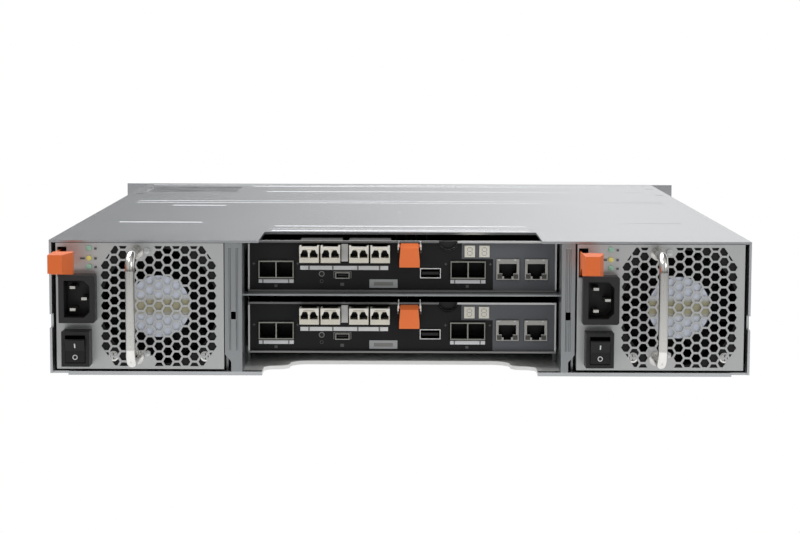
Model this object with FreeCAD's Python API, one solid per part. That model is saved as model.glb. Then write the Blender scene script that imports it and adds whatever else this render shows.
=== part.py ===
# A 2U disk shelf: rack enclosure with twelve hot-swap drives at one end and,
# at the other, two power and cooling units beside two stacked controllers.
# Millimetres. X to the right seen from the rear, +Y towards the drives, Z up.
# The plans below are drawn with y = 0 on the rear plane; save() centres them.
import FreeCAD
import Part
import math
import os

os.makedirs("parts", exist_ok=True)
V = FreeCAD.Vector

# ---------------------------------------------------------------- driving sizes
RACK_W = 482.6              # 19-inch panel width
CHASSIS_W = 446.0           # body between the rack posts
CHASSIS_H = 86.4            # 2U less the clearance above and below
SHEET = 1.5                 # chassis sheet
THIN = 1.0                  # sheet of the plug-in units
FIT = 0.3                   # running gap round a plug-in unit
MIDPLANE_T = 3.2

HALF_W = CHASSIS_W / 2
INNER_W = HALF_W - SHEET
COVER_Z = CHASSIS_H - SHEET         # underside of the covers

# rear bays
HEM_Z = 2.4                 # folded hem along the floor's rear edge
HEM_D = 8.0
PSU_X = {"left": -218.7, "right": 112.4}
PSU_W = 106.5
PSU_Z0 = 4.0
PSU_Z1 = COVER_Z - FIT
PSU_D = 364.0
PILLAR = {"left": (-111.6, -100.6), "right": (102.6, 111.2)}
CTRL_X0 = -98.2
CTRL_X1 = 100.9
CTRL_FACE_Y = 25.0          # the controllers' faces sit back from the rear plane
CTRL_D = 340.0
CTRL_H = 33.0
CTRL_Z = {"lower": 11.5, "upper": 51.3}
PLUG_GAP = 0.3              # seated unit to midplane connector
PLUG_IN = 5.5               # how far a midplane connector enters a drive or supply
PLUG_ROOM = 15.0            # behind a controller, for the midplane's connector
MIDPLANE_Y = max(PSU_D + PLUG_ROOM + 1.0,       # rear face of the midplane board
                 CTRL_FACE_Y + CTRL_D + PLUG_ROOM)
DRIVE_BAY = 175.0           # midplane to the front of the rack flanges
EAR_Y = MIDPLANE_Y + DRIVE_BAY

# drive bays
COLUMNS = 4
ROWS = 3
COL_PITCH = 2 * INNER_W / COLUMNS
ROW_PITCH = (COVER_Z - SHEET) / ROWS
CAGE_T = 1.0
LEDGE_W = 3.0
LEDGE_T = 0.8
DISK_ROOM = 1.6             # above and below a disk in its row
DISK = (101.6, 147.0, ROW_PITCH - LEDGE_T - DISK_ROOM)     # 3.5-inch disk
CARRIER_FACE_Y = EAR_Y + 6.0
BEZEL_T = 15.0
HANDLE_T = 8.0
TAIL_Y = CARRIER_FACE_Y - BEZEL_T - DISK[1] - 1.0


# thumb tab of a supply's latch, the rearmost thing on the shelf
TAB_X = (1.4, 10.4, 14.2)   # near side, far side at the tip, far side at the root
TAB_Y = (-42.0, -25.0, -18.0)
TAB_Z = (67.0, 69.3, 80.8)  # root and tip of the underside, and the top
REAR_Y = TAB_Y[0]           # rearmost point of the supplies' latches
FRONT_Y = CARRIER_FACE_Y + HANDLE_T
MID_Y = (REAR_Y + FRONT_Y) / 2


# ---------------------------------------------------------------- small helpers
def block(x0, x1, y0, y1, z0, z1):
    """A box between two corners."""
    return Part.makeBox(x1 - x0, y1 - y0, z1 - z0, V(x0, y0, z0))


def rod(radius, start, along, length):
    """A round bar."""
    return Part.makeCylinder(radius, length, V(*start), V(*along))


def wire_xy(points, z):
    """A closed plan outline from 'line' points and (middle, end) arcs."""
    edges = []
    here = V(points[0][0], points[0][1], z)
    first = here
    for item in points[1:]:
        if len(item) == 4:
            mid = V(item[0], item[1], z)
            end = V(item[2], item[3], z)
            edges.append(Part.Arc(here, mid, end).toShape())
        else:
            end = V(item[0], item[1], z)
            edges.append(Part.makeLine(here, end))
        here = end
    edges.append(Part.makeLine(here, first))
    return Part.Wire(edges)


def prism(points, z, height):
    """A plan outline raised to a height."""
    return Part.Face(wire_xy(points, z)).extrude(V(0, 0, height))


def plate_xz(points, y, depth):
    """An outline drawn on the rear plane, given depth towards the drives."""
    corners = [V(x, y, z) for x, z in points]
    face = Part.Face(Part.makePolygon(corners + corners[:1]))
    return face.extrude(V(0, depth, 0))


def plate_yz(points, x, width):
    """An outline drawn from the side, given width along X."""
    corners = [V(x, y, z) for y, z in points]
    face = Part.Face(Part.makePolygon(corners + corners[:1]))
    return face.extrude(V(width, 0, 0))


def fuse(shapes):
    joined = shapes[0]
    if len(shapes) > 1:
        joined = joined.fuse(shapes[1:])
    return joined.removeSplitter()


def cut(shape, tools):
    """Cut all the tools at once."""
    return shape.cut(Part.makeCompound(tools)).removeSplitter()


def save(name, shape):
    """Centre along Y, check and write one node."""
    moved = shape.copy()
    moved.translate(V(0, -MID_Y, 0))
    if not moved.isValid():
        raise ValueError("bad solid: " + name)
    moved.exportStep("parts/" + name + ".step")


# ---------------------------------------------------------------- chassis
NOTCH_MOUTH = 88.0          # floor cut-out at the rear edge, half width
NOTCH_INNER = 72.0
NOTCH_D = 49.0
COVER_NOTCH = 90.0          # cut-out of the rear cover, half width
COVER_NOTCH_D = 64.0
SEAM_Y = 340.0
HOOK_Z = (30.0, 39.0)
EAR_T = 2.0
EAR_HOLE_X = 465.1 / 2      # EIA hole spacing across the rack
EAR_HOLE_PITCH = 44.45
EAR_SLOT = (10.3, 6.6)
BEAD_W = 3.6
RELIEF = (11.5, 8.0, 1.1)   # corner relief where the floor meets a side wall


def floor_notch(grow):
    """Plan outline of the floor's S-curved cut-out, grown by a margin."""
    mouth = NOTCH_MOUTH + grow
    inner = NOTCH_INNER + grow
    depth = NOTCH_D + grow
    mean = (mouth + inner) / 2
    r = (mouth - inner) / 2
    bend = r * (1 - math.sqrt(0.5))
    turn = r * math.sqrt(0.5)
    s = 18.0
    c = 12.0
    k = c * (1 - math.sqrt(0.5))
    right = [(mouth, -1), (mouth, s), (mouth - bend, s + turn, mean, s + r),
             (inner + bend, s + 2 * r - turn, inner, s + 2 * r),
             (inner, depth - c), (inner - k, depth - k, inner - c, depth)]
    left = [(-inner + c, depth), (-inner + k, depth - k, -inner, depth - c),
            (-inner, s + 2 * r), (-inner - bend, s + 2 * r - turn, -mean, s + r),
            (-mouth + bend, s + turn, -mouth, s), (-mouth, -1)]
    return right + left


def floor_pan():
    """Floor, side walls and rack flanges, folded from one sheet."""
    pan = [block(-HALF_W, HALF_W, 0, EAR_Y, 0, SHEET)]
    for side in (-1, 1):
        outer = side * HALF_W
        inner = side * INNER_W
        x0, x1 = sorted((outer, inner))
        pan.append(block(x0, x1, 0, EAR_Y, 0, COVER_Z))
        e0, e1 = sorted((outer, side * RACK_W / 2))
        ear = block(e0, e1, EAR_Y - EAR_T, EAR_Y, 0, CHASSIS_H)
        for z in (-1, 1):
            zc = CHASSIS_H / 2 + z * EAR_HOLE_PITCH / 2
            flat = (EAR_SLOT[0] - EAR_SLOT[1]) / 2
            r = EAR_SLOT[1] / 2
            xc = side * EAR_HOLE_X
            slot = [rod(r, (xc + s * flat, EAR_Y - 2 * EAR_T, zc), (0, 1, 0), 3 * EAR_T)
                    for s in (-1, 1)]
            slot.append(block(xc - flat, xc + flat, EAR_Y - 2 * EAR_T, EAR_Y + EAR_T,
                              zc - r, zc + r))
            ear = ear.cut(slot)
        pan.append(ear)
        h0, h1 = sorted((side * (HALF_W - 12.0), side * (NOTCH_MOUTH + BEAD_W)))
        pan.append(block(h0, h1, 0, HEM_D, 0, HEM_Z))
    body = fuse(pan)
    bead = prism(floor_notch(BEAD_W), 0, HEM_Z)
    bead = bead.common(block(-HALF_W, HALF_W, 0, EAR_Y, 0, HEM_Z))
    body = body.fuse(bead)
    hooks = [block(side * HALF_W - 2, side * HALF_W + 2, -1, 6.0, *HOOK_Z)
             for side in (-1, 1)]
    corners = []
    for side in (-1, 1):
        for x, top in ((HALF_W + 1, RELIEF[2]), (INNER_W, HEM_Z + 1)):
            a, b = sorted((side * x, side * (HALF_W - RELIEF[0])))
            corners.append(block(a, b, -1, RELIEF[1], -1, top))
    return cut(body, [prism(floor_notch(0), -1, HEM_Z + 2)] + hooks + corners)


PRESS = 0.6                 # depth of the lines pressed in the covers
PRESS_SLOPE = 1.3


def pressed(x0, x1, y, width):
    """A shallow line across a cover with sloping sides."""
    top = CHASSIS_H + 0.2
    slope = PRESS_SLOPE * (1 + 0.2 / PRESS)
    return plate_yz([(y - width / 2, top), (y + width / 2, top),
                     (y + width / 2 - slope, CHASSIS_H - PRESS),
                     (y - width / 2 + slope, CHASSIS_H - PRESS)], x0, x1 - x0)


def rear_top_cover():
    """Rear cover with its centre notch, the band behind it and pressed lines."""
    cover = block(-HALF_W, HALF_W, 0, SEAM_Y - FIT / 2, COVER_Z, CHASSIS_H)
    tools = [block(-COVER_NOTCH, COVER_NOTCH, -1, COVER_NOTCH_D, COVER_Z - 1, CHASSIS_H + 1)]
    tools += [pressed(-86, 86, y, 3.6) for y in (75.0, 111.0)]
    for side in (-1, 1):
        a, b = sorted((side * 138, side * 196))
        tools.append(pressed(a, b, 140.0, 3.6))
        a, b = sorted((side * 134, side * 175))
        tools.append(pressed(a, b, 298.0, 3.6))
    return cut(cover, tools)


def front_top_cover():
    """Front cover over the drive cage, with long pressed lines and a sunk field."""
    cover = block(-HALF_W, HALF_W, SEAM_Y + FIT / 2, EAR_Y, COVER_Z, CHASSIS_H)
    tools = [pressed(-112, 205, 455.0, 3.6), pressed(-128, 205, 520.0, 3.6)]
    tools.append(block(-213, -136, 448, 510, CHASSIS_H - 0.5, CHASSIS_H + 1))
    return cut(cover, tools)


def pillar(side):
    """One folded divider between a supply bay and the controller bay."""
    x0, x1 = PILLAR[side]
    z0 = SHEET
    z1 = COVER_Z
    wall = block(x0, x1, 0, MIDPLANE_Y, z0, z1)
    web = block(x0 + SHEET, x1 - SHEET, SHEET, MIDPLANE_Y + 1, z0 - 1, z1 + 1)
    out = -1 if side == "left" else 1
    corner = x0 if out < 0 else x1
    foot = [(corner - out * 4.0, z0 - 1), (corner + out, z0 - 1),
            (corner + out, 13.6), (corner, 13.6), (corner - out * 4.0, 9.0)]
    step = plate_xz(foot, -1, 12.0)
    slot = block((x0 + x1) / 2 - 1.6, (x0 + x1) / 2 + 1.6, -1, SHEET + 1, 36.0, 41.0)
    grooves = [block(x - 0.5, x + 0.5, -1, 0.6, 16.0, z1 - 3.0)
               for x in (x0 + 3.2, x1 - 3.2)]
    seat = block(x0 - 1, x1 + 1, -1, HEM_D + FIT, z0 - 1, HEM_Z)
    return cut(wall, [web, step, slot, seat] + grooves)


SHELF_T = 1.2
GUIDE_X = (-100.7, -99.9)   # thin guide beside the controllers
GUIDE_Y = 58.0


def rear_bay_frame():
    """Pillars and the two shelves that carry the controllers, riveted as one."""
    left = pillar("left")
    right = pillar("right")
    x0 = PILLAR["left"][1]
    x1 = PILLAR["right"][0]
    parts = [left, right]
    for which, back in (("upper", 12.0), ("lower", NOTCH_D + BEAD_W + 2.0)):
        top = CTRL_Z[which] - FIT
        parts.append(block(x0, x1, back, MIDPLANE_Y, top - SHELF_T, top))
    parts.append(block(*GUIDE_X, GUIDE_Y, 80.0, CTRL_Z["lower"] - FIT - SHELF_T, COVER_Z))
    lower = CTRL_Z["lower"] - FIT - SHELF_T
    for x in (x0, x1 - SHEET):
        parts.append(block(x, x + SHEET, NOTCH_D + BEAD_W + 2.0, MIDPLANE_Y, SHEET, lower))
    return fuse(parts)


def drive_cage():
    """Vertical walls between the columns with ledges at every row."""
    y0 = TAIL_Y
    y1 = EAR_Y - EAR_T
    parts = []
    for i in range(COLUMNS + 1):
        x = -INNER_W + i * COL_PITCH
        w0 = max(x - CAGE_T / 2, -INNER_W)
        w1 = min(x + CAGE_T / 2, INNER_W)
        parts.append(block(w0, w1, y0, y1, SHEET, COVER_Z))
        l0 = max(w0 - LEDGE_W, -INNER_W)
        l1 = min(w1 + LEDGE_W, INNER_W)
        for row in range(ROWS):
            z = SHEET + row * ROW_PITCH
            parts.append(block(l0, l1, y0, y1, z, z + LEDGE_T))
    parts.append(block(-INNER_W, INNER_W, y0, y0 + 12.0, SHEET, SHEET + LEDGE_T))
    return fuse(parts)


def bay_centre(col):
    return -INNER_W + (col + 0.5) * COL_PITCH


def midplane_board():
    """Board with a slot of air over every drive plug, and its connectors."""
    z0 = SHEET
    z1 = COVER_Z
    y1 = MIDPLANE_Y + MIDPLANE_T
    board = block(-INNER_W, INNER_W, MIDPLANE_Y, y1, z0, z1)
    air = []
    plugs = []
    for col in range(COLUMNS):
        x = bay_centre(col)
        for row in range(ROWS):
            z = SHEET + row * ROW_PITCH
            air.append(block(x - 44, x + 44, MIDPLANE_Y - 1, y1 + 1, z + 17.5, z + 25.0))
            plugs.append(block(x - 21, x + 21, y1, TAIL_Y + PLUG_IN, z + 4.0, z + 10.0))
    board = cut(board, air)
    rear = MIDPLANE_Y - CTRL_FACE_Y - CTRL_D - PLUG_GAP
    for z in CTRL_Z.values():
        for x in (-60.0, 0.0, 60.0):
            plugs.append(block(x - 20, x + 20, MIDPLANE_Y - rear, MIDPLANE_Y, z + 6, z + 14))
    rear = MIDPLANE_Y - PSU_D + PLUG_IN
    for x0 in PSU_X.values():
        plugs.append(block(x0 + 30, x0 + 76, MIDPLANE_Y - rear, MIDPLANE_Y, 30.5, 41.5))
    return fuse([board] + plugs)


# ---------------------------------------------------------------- power units
FACE_T = 1.2
GRILLE = (28.1, 102.3, 5.8, 82.7)   # x from the unit's left edge, z from the floor
GRILLE_CUT = (9.1, 13.3)    # cut corners of the grille field
GRILLE_BARE = ((53.5, 79.1), (53.5, 10.3))  # plain sheet round the handle's feet
BARE_R = 7.4
HEX_FLAT = 5.2
HEX_PITCH_Z = 6.5
HEX_PITCH_X = HEX_PITCH_Z * math.sqrt(3) / 2
HEX_COLUMNS = 13
HEX_MIDDLE = (65.1, 44.5)
HEX_LEAST = 2.5             # a clipped cell smaller than this is left out, mm2
FAN_X = 65.3
FAN_Z = 44.1
FAN_SIZE = 77.0
FAN_BORE = 74.0
FAN_DEPTH = 28.0
FAN_Y = FACE_T
SHAFT_R = 2.0
SHAFT_FIT = 0.06
SHAFT_IN = 2.5
HUB_R = 20.2
BLADES = 7
TIP_X = 34.2                # flat blade tips, clear of the bore at their corners
BLADE_CHORD = 23.0
BLADE_PITCH = math.radians(38)
INLET = (3.0, 26.0, 34.6, 65.1)
INLET_OUT = 11.0
SWITCH = (5.0, 22.6, 7.3, 29.5)
SWITCH_OUT = 14.0
BAR_X = 51.0
BAR_R = 3.0
BAR_Z = (11.7, 79.1)
BAR_OUT = 33.0
LATCH_SLOT = (0.9, 6.9, 63.4, 82.1)
LATCH_Z = (64.0, 80.0)
LATCH_PIVOT_Y = 40.0
LATCH_PIN_X = 2.9
LATCH_PIN_R = 0.9
LED_X = 21.2
LED_Z = (81.3, 74.9, 69.5)
LIP = (0.2, 3.0, 54.8, 63.0)        # small folded lip below the latch slot


def hexagon(x, z, flat, y, depth):
    """One honeycomb cell with flats above and below."""
    r = flat / math.sqrt(3)
    points = [(x + r * math.cos(math.radians(60 * k)),
               z + r * math.sin(math.radians(60 * k))) for k in range(6)]
    return plate_xz(points, y, depth)


def grille_field(x0):
    """The grille's outline: a rectangle with cut corners."""
    a, b = x0 + GRILLE[0], x0 + GRILLE[1]
    c, d = GRILLE[2], GRILLE[3]
    u, w = GRILLE_CUT
    return plate_xz([(a + u, c), (b - u, c), (b, c + w), (b, d - w),
                     (b - u, d), (a + u, d), (a, d - w), (a, c + w)], -1, FACE_T + 2)


def honeycomb(x0):
    """All the cells of the grille, clipped to its field, as cutting tools."""
    field = grille_field(x0)
    cells = []
    for i in range(HEX_COLUMNS):
        x = HEX_MIDDLE[0] + (i - HEX_COLUMNS // 2) * HEX_PITCH_X
        shift = HEX_PITCH_Z / 2 if i % 2 else 0.0
        for j in range(-7, 7):
            z = HEX_MIDDLE[1] + j * HEX_PITCH_Z + shift
            if min(math.hypot(x - a, z - b) for a, b in GRILLE_BARE) < BARE_R:
                continue
            cell = hexagon(x0 + x, z, HEX_FLAT, -1, FACE_T + 2).common(field)
            if cell.Volume > HEX_LEAST * (FACE_T + 2):
                cells.append(cell)
    return cells


def psu_case(x0):
    """Sheet box, open at the rear where the face closes it."""
    x1 = x0 + PSU_W
    outer = block(x0, x1, FACE_T, PSU_D, PSU_Z0, PSU_Z1)
    inner = block(x0 + THIN, x1 - THIN, FACE_T - 1, PSU_D - THIN, PSU_Z0 + THIN, PSU_Z1 - THIN)
    window = block(x0 - 1, x0 + THIN + 1, 14.0, 26.0, 62.0, 77.0)
    plug = block(x0 + 28, x0 + 78, PSU_D - 5, PSU_D + 1, 29.0, 43.0)
    vents = [block(x0 - 1, x1 + 1, 120.0 + 22 * k, 134.0 + 22 * k, 56.0, 60.0)
             for k in range(6)]
    foot = LATCH_Z[0] - 2.0
    bracket = block(x0 + THIN / 2, x0 + LATCH_PIN_X + 1.5, LATCH_PIVOT_Y - 3, LATCH_PIVOT_Y + 3,
                    foot - THIN, foot)
    pin = rod(LATCH_PIN_R, (x0 + LATCH_PIN_X, LATCH_PIVOT_Y, foot - THIN / 2), (0, 0, 1),
              PSU_Z1 - foot)
    return cut(outer, [inner, window, plug] + vents).fuse([bracket, pin])


def psu_face(x0):
    """Rear plate: honeycomb, inlet and switch openings, latch slot, lamp holes."""
    plate = block(x0, x0 + PSU_W, 0, FACE_T, PSU_Z0, PSU_Z1)
    plate = plate.fuse(block(x0 + LIP[0], x0 + LIP[1], -1.0, 0, LIP[2], LIP[3]))
    tools = honeycomb(x0)
    for a, b, c, d in (INLET, SWITCH):
        tools.append(block(x0 + a + 1.2, x0 + b - 1.2, -1, FACE_T + 1, c + 1.2, d - 1.2))
    a, b, c, d = LATCH_SLOT
    tools.append(block(x0 + a, x0 + b, -1, FACE_T + 1, c, d))
    for z in LED_Z:
        tools.append(rod(1.7, (x0 + LED_X, -1, z), (0, 1, 0), FACE_T + 2))
    return cut(plate, tools)


def psu_handle(x0):
    """Bent rod: two legs, two elbows, the grip, and a collar at each foot."""
    low, high = BAR_Z
    bend = 9.0
    reach = BAR_OUT - bend
    ring = Part.Wire(Part.makeCircle(BAR_R, V(0, 0, low), V(0, 1, 0)))
    corner = bend * (1 - math.sqrt(0.5))
    path = Part.Wire([
        Part.makeLine(V(0, 0, low), V(0, -reach, low)),
        Part.Arc(V(0, -reach, low), V(0, -BAR_OUT + corner, low + corner),
                 V(0, -BAR_OUT, low + bend)).toShape(),
        Part.makeLine(V(0, -BAR_OUT, low + bend), V(0, -BAR_OUT, high - bend)),
        Part.Arc(V(0, -BAR_OUT, high - bend), V(0, -BAR_OUT + corner, high - corner),
                 V(0, -reach, high)).toShape(),
        Part.makeLine(V(0, -reach, high), V(0, 0, high))])
    bar = path.makePipe(Part.Face(ring))
    collars = [rod(4.6, (0, -2.0, z), (0, 1, 0), 2.0) for z in BAR_Z]
    handle = bar.fuse(collars)
    handle.translate(V(x0 + BAR_X, 0, 0))
    return handle


def psu_inlet(x0):
    """C14 inlet turned on its side, with its three pins."""
    a, b, c, d = INLET
    xa, xb = x0 + a, x0 + b
    shell = plate_xz([(xa, c), (xb - 1.0, c), (xb, c + 1.0), (xb, d - 1.0), (xb - 1.0, d),
                      (xa, d)], -INLET_OUT, INLET_OUT)
    neck = block(xa + 1.5, xb - 1.5, 0, 20.0, c + 1.5, d - 1.5)
    mouth = plate_xz([(xa + 3.4, c + 3.6), (xb - 7.0, c + 3.6), (xb - 3.4, c + 7.2),
                      (xb - 3.4, d - 7.2), (xb - 7.0, d - 3.6), (xa + 3.4, d - 3.6)],
                     -INLET_OUT - 1, 17.5)
    body = shell.fuse(neck).cut(mouth)
    xm = (xa + xb) / 2
    zm = (c + d) / 2
    pins = [block(xm + 2.4, xm + 6.4, -INLET_OUT + 2.5, 6.0, zm - 1.0, zm + 1.0)]
    for s in (-1, 1):
        pins.append(block(xm - 5.0, xm - 1.0, -INLET_OUT + 3.5, 6.0,
                          zm + s * 7.0 - 1.0, zm + s * 7.0 + 1.0))
    return fuse([body] + pins)


ROCK_AXIS_Y = 5.0 - SWITCH_OUT
ROCK_TILT = 9.0             # the rocker lies over to one side or the other
ROCK_PIN_R = 1.2
WELL_X = 2.4
WELL_Z = 2.2


def psu_switch_frame(x0):
    """Bezel and body of the mains switch, open where the rocker turns."""
    a, b, c, d = SWITCH
    rim = block(x0 + a, x0 + b, -SWITCH_OUT, 0, c, d)
    neck = block(x0 + a + 1.5, x0 + b - 1.5, 0, 17.0, c + 1.5, d - 1.5)
    well = block(x0 + a + WELL_X, x0 + b - WELL_X, -SWITCH_OUT - 1, 5.0, c + WELL_Z, d - WELL_Z)
    pin = rod(ROCK_PIN_R + SHAFT_FIT, (x0 + a + WELL_X - 1.3, ROCK_AXIS_Y, (c + d) / 2),
              (1, 0, 0), b - a - 2 * WELL_X + 2.6)
    return cut(rim.fuse(neck), [well, pin])


def psu_rocker(x0):
    """Dished rocker, the same above and below its cross pin, lying over."""
    a, b, c, d = SWITCH
    zm = (c + d) / 2
    w = (b - a) - 2 * WELL_X - 2 * FIT
    left = x0 + a + WELL_X + FIT
    half = [(-7.4, 7.2), (-5.6, 7.6), (3.0, 3.4)]
    profile = half + [(y, -z) for y, z in reversed(half)] + [(-5.9, 0.0)]
    body = plate_yz([(ROCK_AXIS_Y + y, zm + z) for y, z in profile], left, w)
    pin = rod(ROCK_PIN_R, (left - 1.2, ROCK_AXIS_Y, zm), (1, 0, 0), w + 2.4)
    rocker = fuse([body, pin])
    rocker.rotate(V(left, ROCK_AXIS_Y, zm), V(1, 0, 0), ROCK_TILT)
    return rocker


def psu_latch(x0):
    """Spring-steel arm on a pin inside the case, with a moulded thumb tab outside."""
    low, high = LATCH_Z
    x, y = x0 + LATCH_PIN_X, LATCH_PIVOT_Y
    near, tip, root = TAB_X
    rear, widest, back = TAB_Y
    under, chin, top = TAB_Z
    side = [(y + 1.5, low), (y + 1.5, high), (back - 12.0, high), (back - 12.0, chin + 0.8),
            (-1.0, chin + 0.8), (FACE_T + 2.0, low)]
    arm = plate_yz(side, x0 + 1.6, 1.0)
    hook = prism([(x0 + 1.6, 16.0), (x0 + 1.6, 23.0), (x0 - 0.8, 21.5), (x0 - 0.8, 19.5)],
                 low, 11.0)
    barrel = rod(LATCH_PIN_R + 0.7, (x, y, low), (0, 0, 1), high - low)
    plan = [(x0 + near, rear), (x0 + tip, rear), (x0 + root, widest), (x0 + root, back),
            (x0 + near, back)]
    tab = prism(plan, under, top - under)
    slope = (chin - under) / (widest - rear)
    tab = cut(tab, [plate_yz([(rear - 1, under - 1), (widest, under - 1), (widest, under),
                              (rear - 1, chin + slope)], x0, root + 1)])
    pin = rod(LATCH_PIN_R + SHAFT_FIT, (x, y, low - 1), (0, 0, 1), high - low + 2)
    return cut(fuse([arm, hook, barrel, tab]), [pin])


def psu_fan_frame(x0):
    """Square fan frame, waisted between its flanges, with four spokes to the motor."""
    xc = x0 + FAN_X
    h = FAN_SIZE / 2
    frame = block(xc - h, xc + h, FAN_Y, FAN_Y + FAN_DEPTH, FAN_Z - h, FAN_Z + h)
    tools = [rod(FAN_BORE / 2, (xc, FAN_Y - 1, FAN_Z), (0, 1, 0), FAN_DEPTH + 2)]
    for sx in (-1, 1):
        for sz in (-1, 1):
            x, z = xc + sx * (h + 1), FAN_Z + sz * (h + 1)
            tools.append(plate_xz([(x, z), (x - sx * 17.0, z), (x, z - sz * 17.0)],
                                  FAN_Y + 4, FAN_DEPTH - 8))
    frame = cut(frame, tools)
    back = FAN_Y + FAN_DEPTH
    spokes = [rod(14.0, (xc, back - 4.0, FAN_Z), (0, 1, 0), 4.0)]
    for k in range(4):
        arm = block(xc, xc + FAN_BORE / 2 + 0.6, back - 3.0, back, FAN_Z - 1.5, FAN_Z + 1.5)
        arm.rotate(V(xc, 0, FAN_Z), V(0, 1, 0), 45 + 90 * k)
        spokes.append(arm)
    shaft = rod(SHAFT_R + SHAFT_FIT, (xc, back - 5.0, FAN_Z), (0, 1, 0), SHAFT_IN + 1.0)
    return cut(fuse([frame] + spokes), [shaft])


def blade_section(depth):
    """Cambered blade profile as (y, z) corners, leading edge first."""
    steps = 4
    camber = 3.4
    upper = []
    lower = []
    for k in range(steps + 1):
        t = k / steps
        along = (t - 0.5) * BLADE_CHORD
        rise = camber * 4 * t * (1 - t)
        thick = 0.6 + 0.5 * 4 * t * (1 - t)
        for line, side in ((upper, thick), (lower, -thick)):
            z = along * math.cos(BLADE_PITCH) - (rise + side) * math.sin(BLADE_PITCH)
            y = along * math.sin(BLADE_PITCH) + (rise + side) * math.cos(BLADE_PITCH)
            line.append((depth / 2 + y, z))
    return upper + lower[::-1]


def psu_fan_rotor(x0):
    """Hub with seven pitched, cambered blades, on its shaft."""
    xc = x0 + FAN_X
    y0 = FAN_Y + 0.8
    depth = FAN_DEPTH - 6.5
    hub = rod(HUB_R, (xc, y0, FAN_Z), (0, 1, 0), depth)
    shaft = rod(SHAFT_R, (xc, y0 + depth, FAN_Z), (0, 1, 0),
                FAN_Y + FAN_DEPTH - 4.0 + SHAFT_IN - 0.5 - y0 - depth)
    section = [(y0 - 0.6 + y, FAN_Z + z) for y, z in blade_section(depth)]
    blades = []
    for k in range(BLADES):
        blade = plate_yz(section, xc + HUB_R - 3.0, TIP_X - HUB_R + 3.0)
        blade.rotate(V(xc, 0, FAN_Z), V(0, 1, 0), 360.0 * k / BLADES)
        blades.append(blade)
    return fuse([hub, shaft] + blades)


# ---------------------------------------------------------------- controllers
SAS = ((-91.7, -68.7, 8.4, 20.1), (32.3, 55.3, 8.4, 20.1))
SFP_X0 = -65.3
SFP_PITCH = 13.65
SFP_MIDDLE = 4.6
SFP_Z = (19.6, 31.4)
JACKS = ((61.9, 77.1, 7.8, 21.5), (80.3, 95.5, 7.8, 21.5))
USB_A = (12.6, 26.4, 8.6, 15.5)
USB_MINI = (-42.1, -32.6, 8.2, 12.6)
DIGITS = ((41.3, 48.4), (50.8, 57.8))
DIGIT_Z = (22.3, 30.2)
LEVER = (-0.6, 12.5, 16.2, 31.6)
LEVER_PIVOT = (CTRL_FACE_Y - 3.2, 29.8)
LEVER_PIN_R = 1.1
LUG_T = 0.9
LUG_GAP = 0.3


def sfp_left(k):
    """Left edge of transceiver k."""
    return SFP_X0 + k * SFP_PITCH + (SFP_MIDDLE if k > 1 else 0.0)


def controller_tray(z):
    """Open-topped sheet tray with the port face folded up at the rear."""
    x0, x1 = CTRL_X0, CTRL_X1
    y0 = CTRL_FACE_Y
    y1 = y0 + CTRL_D
    parts = [block(x0, x1, y0, y1, z, z + THIN),
             block(x0, x1, y0, y0 + THIN, z, z + CTRL_H)]
    for x in (x0, x1 - THIN):
        parts.append(block(x, x + THIN, y0, y1, z, z + CTRL_H - 6))
    for low, high in ((z, z + 1.2), (z + CTRL_H - 1.2, z + CTRL_H)):
        parts.append(block(x0, x1, y0 - 2.5, y0, low, high))
    for x in (x0, x1 - THIN):
        parts.append(block(x, x + THIN, y0 - 2.5, y0, z, z + CTRL_H))
    parts.append(block(sfp_left(1) + SFP_PITCH, sfp_left(2) - 0.4, y0 - 1.5, y0,
                       z + SFP_Z[0], z + SFP_Z[1] - 0.5))
    lug = [(y0, z + 25.0), (y0, z + CTRL_H), (LEVER_PIVOT[0] - 2.2, z + CTRL_H),
           (LEVER_PIVOT[0] - 2.2, z + 27.6)]
    for x in (LEVER[0] - LUG_GAP - LUG_T, LEVER[1] + LUG_GAP):
        parts.append(plate_yz(lug, x, LUG_T))
    body = fuse(parts)
    pin = rod(LEVER_PIN_R + SHAFT_FIT, (LEVER[0] - 3, LEVER_PIVOT[0], z + LEVER_PIVOT[1]),
              (1, 0, 0), LEVER[1] - LEVER[0] + 6)
    holes = [pin]
    for a, b, c, d in SAS + JACKS + (USB_A, USB_MINI):
        holes.append(block(a, b, y0 - 1, y0 + THIN + 1, z + c, z + d))
    for k in range(4):
        a = sfp_left(k)
        holes.append(block(a, a + SFP_PITCH - 0.4, y0 - 1, y0 + THIN + 1,
                           z + SFP_Z[0], z + SFP_Z[1] - 0.5))
    for a, b in DIGITS:
        holes.append(block(a, b, y0 - 1, y0 + THIN + 1, z + DIGIT_Z[0], z + DIGIT_Z[1]))
    a, b, c, d = LEVER
    holes.append(block(a + 1.5, b - 1.5, y0 - 1, y0 + THIN + 1, z + c + 1.0, z + d - 2.5))
    holes.append(rod(6.2, (30.9, y0 - 4, z + 33.6), (0, 1, 0), THIN + 5))
    return cut(body, holes)


BOARD_Z = 4.0
BOARD_T = 1.6


def standoff(x, y, z, height):
    """Hexagonal board spacer."""
    return prism([(x + 2.9 * math.cos(math.radians(60 * k)),
                   y + 2.9 * math.sin(math.radians(60 * k))) for k in range(6)], z, height)


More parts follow.
